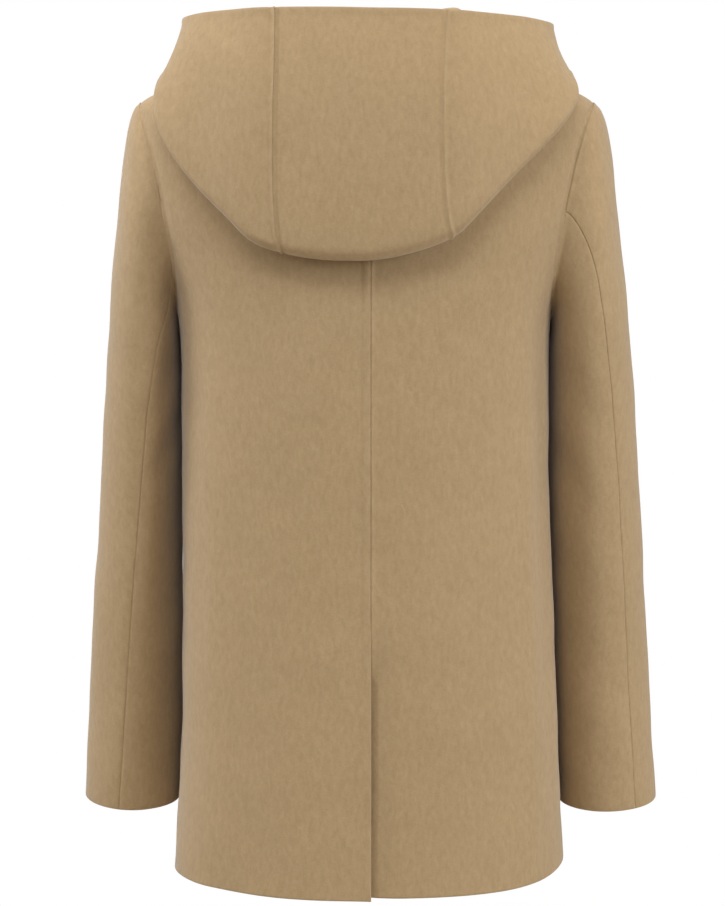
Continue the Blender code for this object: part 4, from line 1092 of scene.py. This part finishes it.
# Name, place, aim, width and height, power and colour.
LIGHTS = (
    ("right", (-2.0, 1.4, 0.2), BODY_MIDDLE, (1.1, 1.1), 32.0, COOL),
    ("right_rim", (-1.7, -0.1, 0.8), BODY_MIDDLE, (0.7, 0.8), 7.5, NEUTRAL),
    ("left", (2.0, 1.4, 0.5), BODY_MIDDLE, (1.1, 1.1), 12.0, COOL),
    ("left_rim", (1.7, 0.0, 0.8), BODY_MIDDLE, (0.7, 0.8), 22.0, COOLEST),
    ("left_high", (1.0, 1.8, 2.0), BODY_MIDDLE, (1.0, 1.0), 17.0, COOL),
    ("above", (0.0, 1.8, 2.0), BODY_MIDDLE, (1.2, 0.9), 25.5, COOL),
    ("front", (0.4, -2.6, 1.2), (0.0, 0.0, -0.35), (2.0, 1.8), 22.0, NEUTRAL),
)
SKY_STRENGTH = 1.12
SKY_TONES = ((0.78, (0.085, 0.055, 0.028)), (0.92, (1.0, 0.87, 0.63)))  # from straight down, 0, to up, 1
CAMERA_PLACE = (0.0054, 2.4, -0.25)
CAMERA_FALL = 2.64            # degrees that the camera looks down
SENSOR = 36.0                 # in millimetres, along the picture's height
FOCAL_PIXELS = 2667.0         # focal length in pixels of a picture of this height
PICTURE_PIXELS = 906.0


def make_floor():
    """A pale floor far below the hem."""
    bpy.ops.mesh.primitive_circle_add(vertices=FLOOR_CORNERS, radius=FLOOR_RADIUS, fill_type="NGON",
                                      location=(0.0, 0.0, FLOOR_Z))
    floor = bpy.context.object
    floor.name = "floor"
    floor.data.materials.append(new_look("pale_floor", FLOOR_SURFACE)[0])


def area_light(name, place, target, size, power, colour):
    """A rectangular light that faces its target."""
    data = bpy.data.lights.new(name, "AREA")
    data.shape = "RECTANGLE"
    data.size, data.size_y = size
    data.energy = power
    data.color = colour
    light = bpy.data.objects.new(name, data)
    light.location = place
    light.rotation_euler = (Vector(target) - Vector(place)).to_track_quat("-Z", "Y").to_euler()
    bpy.context.scene.collection.objects.link(light)


def make_sky():
    """Warm light from straight above, little from elsewhere, and plain white behind the garment."""
    world = bpy.data.worlds.new("studio")
    bpy.context.scene.world = world
    world.use_nodes = True
    tree = world.node_tree
    background = tree.nodes["Background"]
    background.inputs["Strength"].default_value = SKY_STRENGTH
    direction = add_node(tree, "ShaderNodeTexCoord")
    split = add_node(tree, "ShaderNodeSeparateXYZ")
    height = add_node(tree, "ShaderNodeMapRange", {"From Min": -1.0})
    seen = add_node(tree, "ShaderNodeBackground", {"Color": (1.0, 1.0, 1.0, 1.0), "Strength": 1.0})
    rays = add_node(tree, "ShaderNodeLightPath")
    choose = add_node(tree, "ShaderNodeMixShader")
    link = tree.links.new
    link(direction.outputs["Generated"], split.inputs["Vector"])
    link(split.outputs["Z"], height.inputs["Value"])
    link(ramp(tree, height.outputs["Result"], SKY_TONES), background.inputs["Color"])
    link(rays.outputs["Is Camera Ray"], choose.inputs["Fac"])
    link(background.outputs["Background"], choose.inputs[1])
    link(seen.outputs["Background"], choose.inputs[2])
    link(choose.outputs["Shader"], tree.nodes["World Output"].inputs["Surface"])


def make_camera():
    """The camera behind the wearer, from which the picture is taken."""
    data = bpy.data.cameras.new("camera")
    data.sensor_fit = "AUTO"
    data.sensor_width = SENSOR
    data.lens = SENSOR * FOCAL_PIXELS / PICTURE_PIXELS
    camera = bpy.data.objects.new("camera", data)
    camera.location = CAMERA_PLACE
    camera.rotation_euler = (math.radians(90.0 - CAMERA_FALL), 0.0, math.radians(180.0))
    bpy.context.scene.collection.objects.link(camera)
    bpy.context.scene.camera = camera


make_floor()
for light in LIGHTS:
    area_light(*light)
make_sky()
make_camera()
bpy.context.scene.view_settings.view_transform = "Standard"
bpy.context.scene.view_settings.look = "None"
